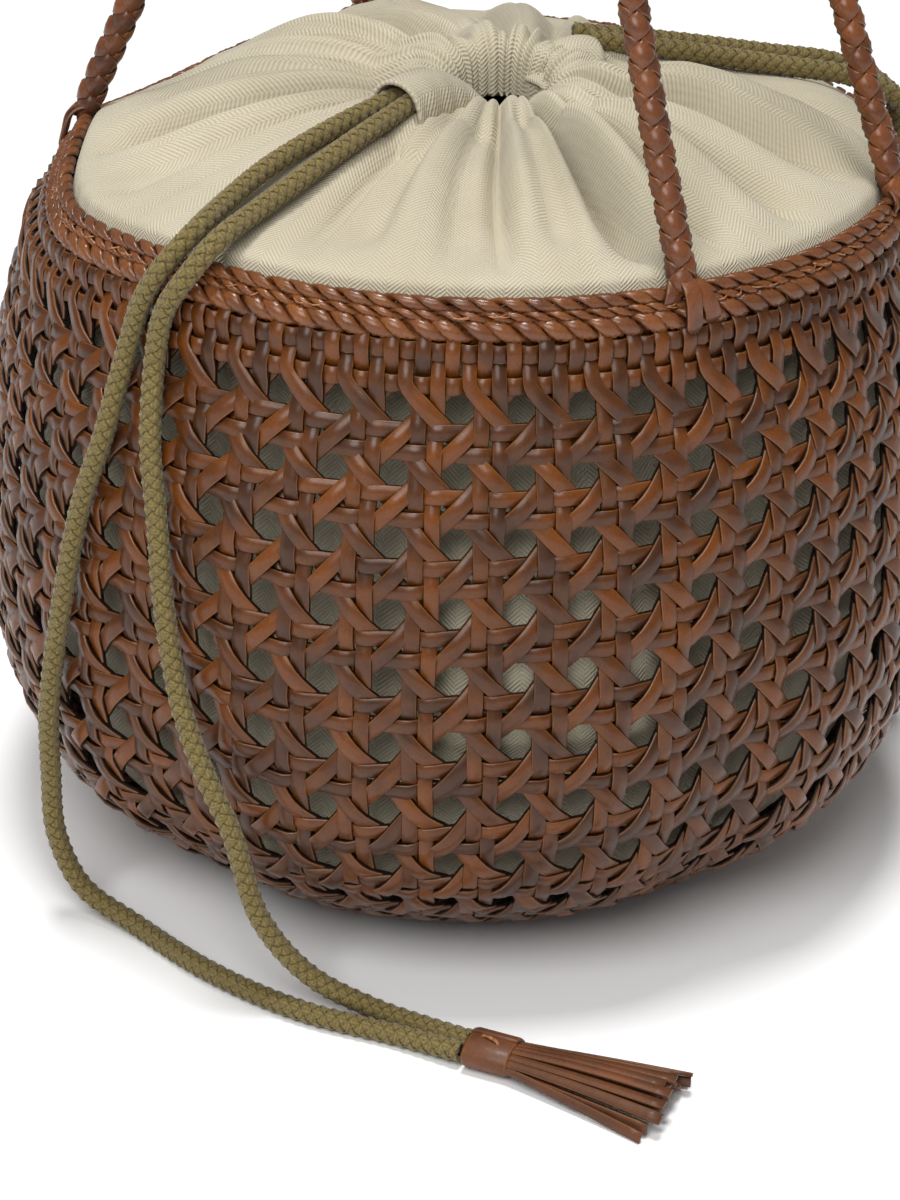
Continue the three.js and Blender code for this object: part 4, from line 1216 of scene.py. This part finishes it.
# %% Canvas finish
PALE_CANVAS, DEEP_CANVAS, RIB_HOLLOW = paint("#c8c0aa"), paint("#bcb39b"), paint("#a0937a")
canvas, t, shader = new_finish("herringbone canvas")
twill = t.node("ShaderNodeGroup", node_tree=twill_group)
t.join(t.node("ShaderNodeUVMap", uv_map="cloth").outputs[0], twill.inputs["Place"])
patchy = t.noise(t.spot(), scale=30, detail=3)
soft = t.blend(t.spread(patchy, 0.35, 0.7), PALE_CANVAS, DEEP_CANVAS)
ribbed = t.blend(t.spread(twill.outputs["Rib Shade"], 0.15, 0.8, 0.6, 0), soft, RIB_HOLLOW)
t.join(ribbed, shader.inputs["Base Color"])
t.join(t.spread(twill.outputs["Rib Shade"], 0, 1.1, 0.95, 0.82), shader.inputs["Roughness"])
t.bump(shader, twill.outputs["Height"], strength=0.6, distance=0.35 * MM)
shader.inputs["Specular IOR Level"].default_value = 0.2
shader.inputs["Sheen Weight"].default_value = 0.15
print("canvas:", len(canvas.node_tree.nodes), "nodes")

# %% [markdown]
# ## Cotton cord and thread
# The cord is olive cotton. Its strands are real geometry, so the finish adds the fine fibres: lines
# along each strand, with a soft sheen. Each strand also darkens towards its sides, as painted shade
# in the hollows between strands. The thread in the rim and the stitch in each tassel are a
# copper-coloured yarn that glints in places.

# %% Cotton finish
DEEP_OLIVE, PALE_OLIVE, OLIVE_HOLLOW_SHADE = paint("#564a26"), paint("#917f4d"), paint("#241f10")
FIBRES_ACROSS, FIBRES_ALONG = 7.0, 4200.0
cotton, t, shader = new_finish("olive cotton")
along, across, _ = t.strip_place()
lines_across = t.math("MULTIPLY", across, FIBRES_ACROSS)
lines_along = t.math("MULTIPLY", along, FIBRES_ALONG)
fibre_lines = t.math("ADD", lines_across, lines_along)
fuzz = t.noise(t.spot(), scale=1700, detail=3, roughness=0.65)
mix = t.math("ADD", t.math("MULTIPLY", t.math("SINE", fibre_lines), 0.08), fuzz)
olive = t.blend(t.spread(mix, 0.25, 0.85), DEEP_OLIVE, PALE_OLIVE)
# Painted shade: each strand darkens towards its sides, in the hollows where strands meet.
hollow = t.blend(t.spread(t.math("ABSOLUTE", across), 0.6, 1.0, 0, 0.75), olive, OLIVE_HOLLOW_SHADE)
t.join(hollow, shader.inputs["Base Color"])
t.join(t.spread(fuzz, 0.2, 0.8, 0.92, 0.78), shader.inputs["Roughness"])
t.bump(shader, mix, strength=0.5, distance=0.2 * MM)
shader.inputs["Sheen Weight"].default_value = 0.2
shader.inputs["Specular IOR Level"].default_value = 0.25
print("cotton:", len(cotton.node_tree.nodes), "nodes")

# %% Copper finish
DARK_COPPER, LIGHT_COPPER = paint("#5e351c"), paint("#b47a4b")
copper, t, shader = new_finish("copper thread")
glint = t.noise(t.spot(), scale=900, detail=2)
t.join(t.blend(t.spread(glint, 0.3, 0.7), DARK_COPPER, LIGHT_COPPER), shader.inputs["Base Color"])
t.join(t.spread(glint, 0.3, 0.7, 0.3, 0.5), shader.inputs["Roughness"])
print("copper:", len(copper.node_tree.nodes), "nodes")

# %% [markdown]
# ## Join the pieces to the frame
# Each piece takes its finish and rides on the bag's one body, and the solids that the pieces stand
# for are hidden.

# %% Dress the pieces and hide their solids
dressed = [
    *[(piece, woven_leather, "woven_leather") for piece in (uprights, rounds, *slants.values(), base)],
    *[(piece, rim_leather, "rim_leather") for piece in (base_ring, edging, binding, twine)],
    (thread, copper, "rim_leather"),
    *[(piece, copper, "tassel_leather") for piece in stitches.values()],
    *[(piece, braid_leather, "braided_leather") for piece in handles.values()],
    (pouch, canvas, "canvas"),
    *[(piece, cotton, "cotton_cord") for piece in cords.values()],
    *[(piece, tassel_leather, "tassel_leather") for piece in tassels.values()]]
for piece, finish, slot in dressed:
    piece.data.materials.append(finish)
    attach(piece, "root")
for piece in (uprights, rounds, *slants.values(), base, base_ring):
    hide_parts("basket_body")
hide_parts("rim_edging")
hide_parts("rim_edging")
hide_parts("rim_twine")
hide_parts("rim_twine")
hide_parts("pouch")
for name, piece in [*handles.items(), *cords.items(), *tassels.items(), *stitches.items()]:
    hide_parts(name)
for name, piece in cords.items():
    line = cord_lines[name]
print(len(dressed), "pieces ride on the bag")

# %% [markdown]
# ## Studio
# A pale floor runs out of sight and pale light comes from all round. The backdrop is as pale as
# the floor where it is seen, and gives less light than it seems to. One lamp hangs almost straight
# overhead, so that folds are drawn and shadows stay short. A softbox near the camera fills the front
# and gives the waxed leather its glints.

# %% Floor and backdrop
FLOOR_HALF, FLOOR_ROUGHNESS = 6, 0.9
SKY_LIGHT, BACKDROP = 0.27, 0.9
floor_corners = [(x * FLOOR_HALF, y * FLOOR_HALF, 0) for x, y in ((-1, -1), (1, -1), (1, 1), (-1, 1))]
floor_mesh = bpy.data.meshes.new("floor")
floor_mesh.from_pydata(floor_corners, [], [(0, 1, 2, 3)])
floor = bpy.data.objects.new("floor", floor_mesh)
bpy.context.scene.collection.objects.link(floor)
floor_paint, t, shader = new_finish("pale floor")
shader.inputs["Base Color"].default_value = paint("#fcfcfc")
shader.inputs["Roughness"].default_value = FLOOR_ROUGHNESS
floor_mesh.materials.append(floor_paint)

world = bpy.data.worlds.new("studio")
world.use_nodes = True
t = Tree(world.node_tree)
sky = world.node_tree.nodes["Background"]
sky.inputs["Color"].default_value = (1, 1, 1, 1)
seen = t.node("ShaderNodeLightPath").outputs["Is Camera Ray"]
t.join(t.math("MULTIPLY_ADD", seen, BACKDROP - SKY_LIGHT, SKY_LIGHT), sky.inputs["Strength"])
bpy.context.scene.world = world
bpy.context.scene.view_settings.view_transform = "Standard"
print(f"floor {2 * FLOOR_HALF} m wide, light from all round {SKY_LIGHT}")

# %% Lamps
ALMOST_UP = (0, 0.1, 1.0)


def aimed(place, aim):
    back = unit(np.array(place, float) - np.array(aim, float))
    across = unit(np.cross(ALMOST_UP, back))
    return Matrix(np.column_stack([across, np.cross(back, across), back, place]).tolist() + [[0, 0, 0, 1]])


def lamp(name, kind, place, aim, energy, **settings):
    light = bpy.data.lights.new(name, kind)
    light.energy = energy
    for key, value in settings.items():
        setattr(light, key, value)
    made = bpy.data.objects.new(name, light)
    made.matrix_world = aimed(place, aim)
    bpy.context.scene.collection.objects.link(made)
    print(f"{name} lamp at {place}")


lamp("overhead", "SUN", place=(-0.06, 0.04, 1.5), aim=(0, 0, 0.1), energy=2.1, angle=math.radians(16))
lamp("front softbox", "AREA", place=(0.4, -1.05, 1.2), aim=(0, 0, 0.12), energy=16, shape="DISK", size=1.0)
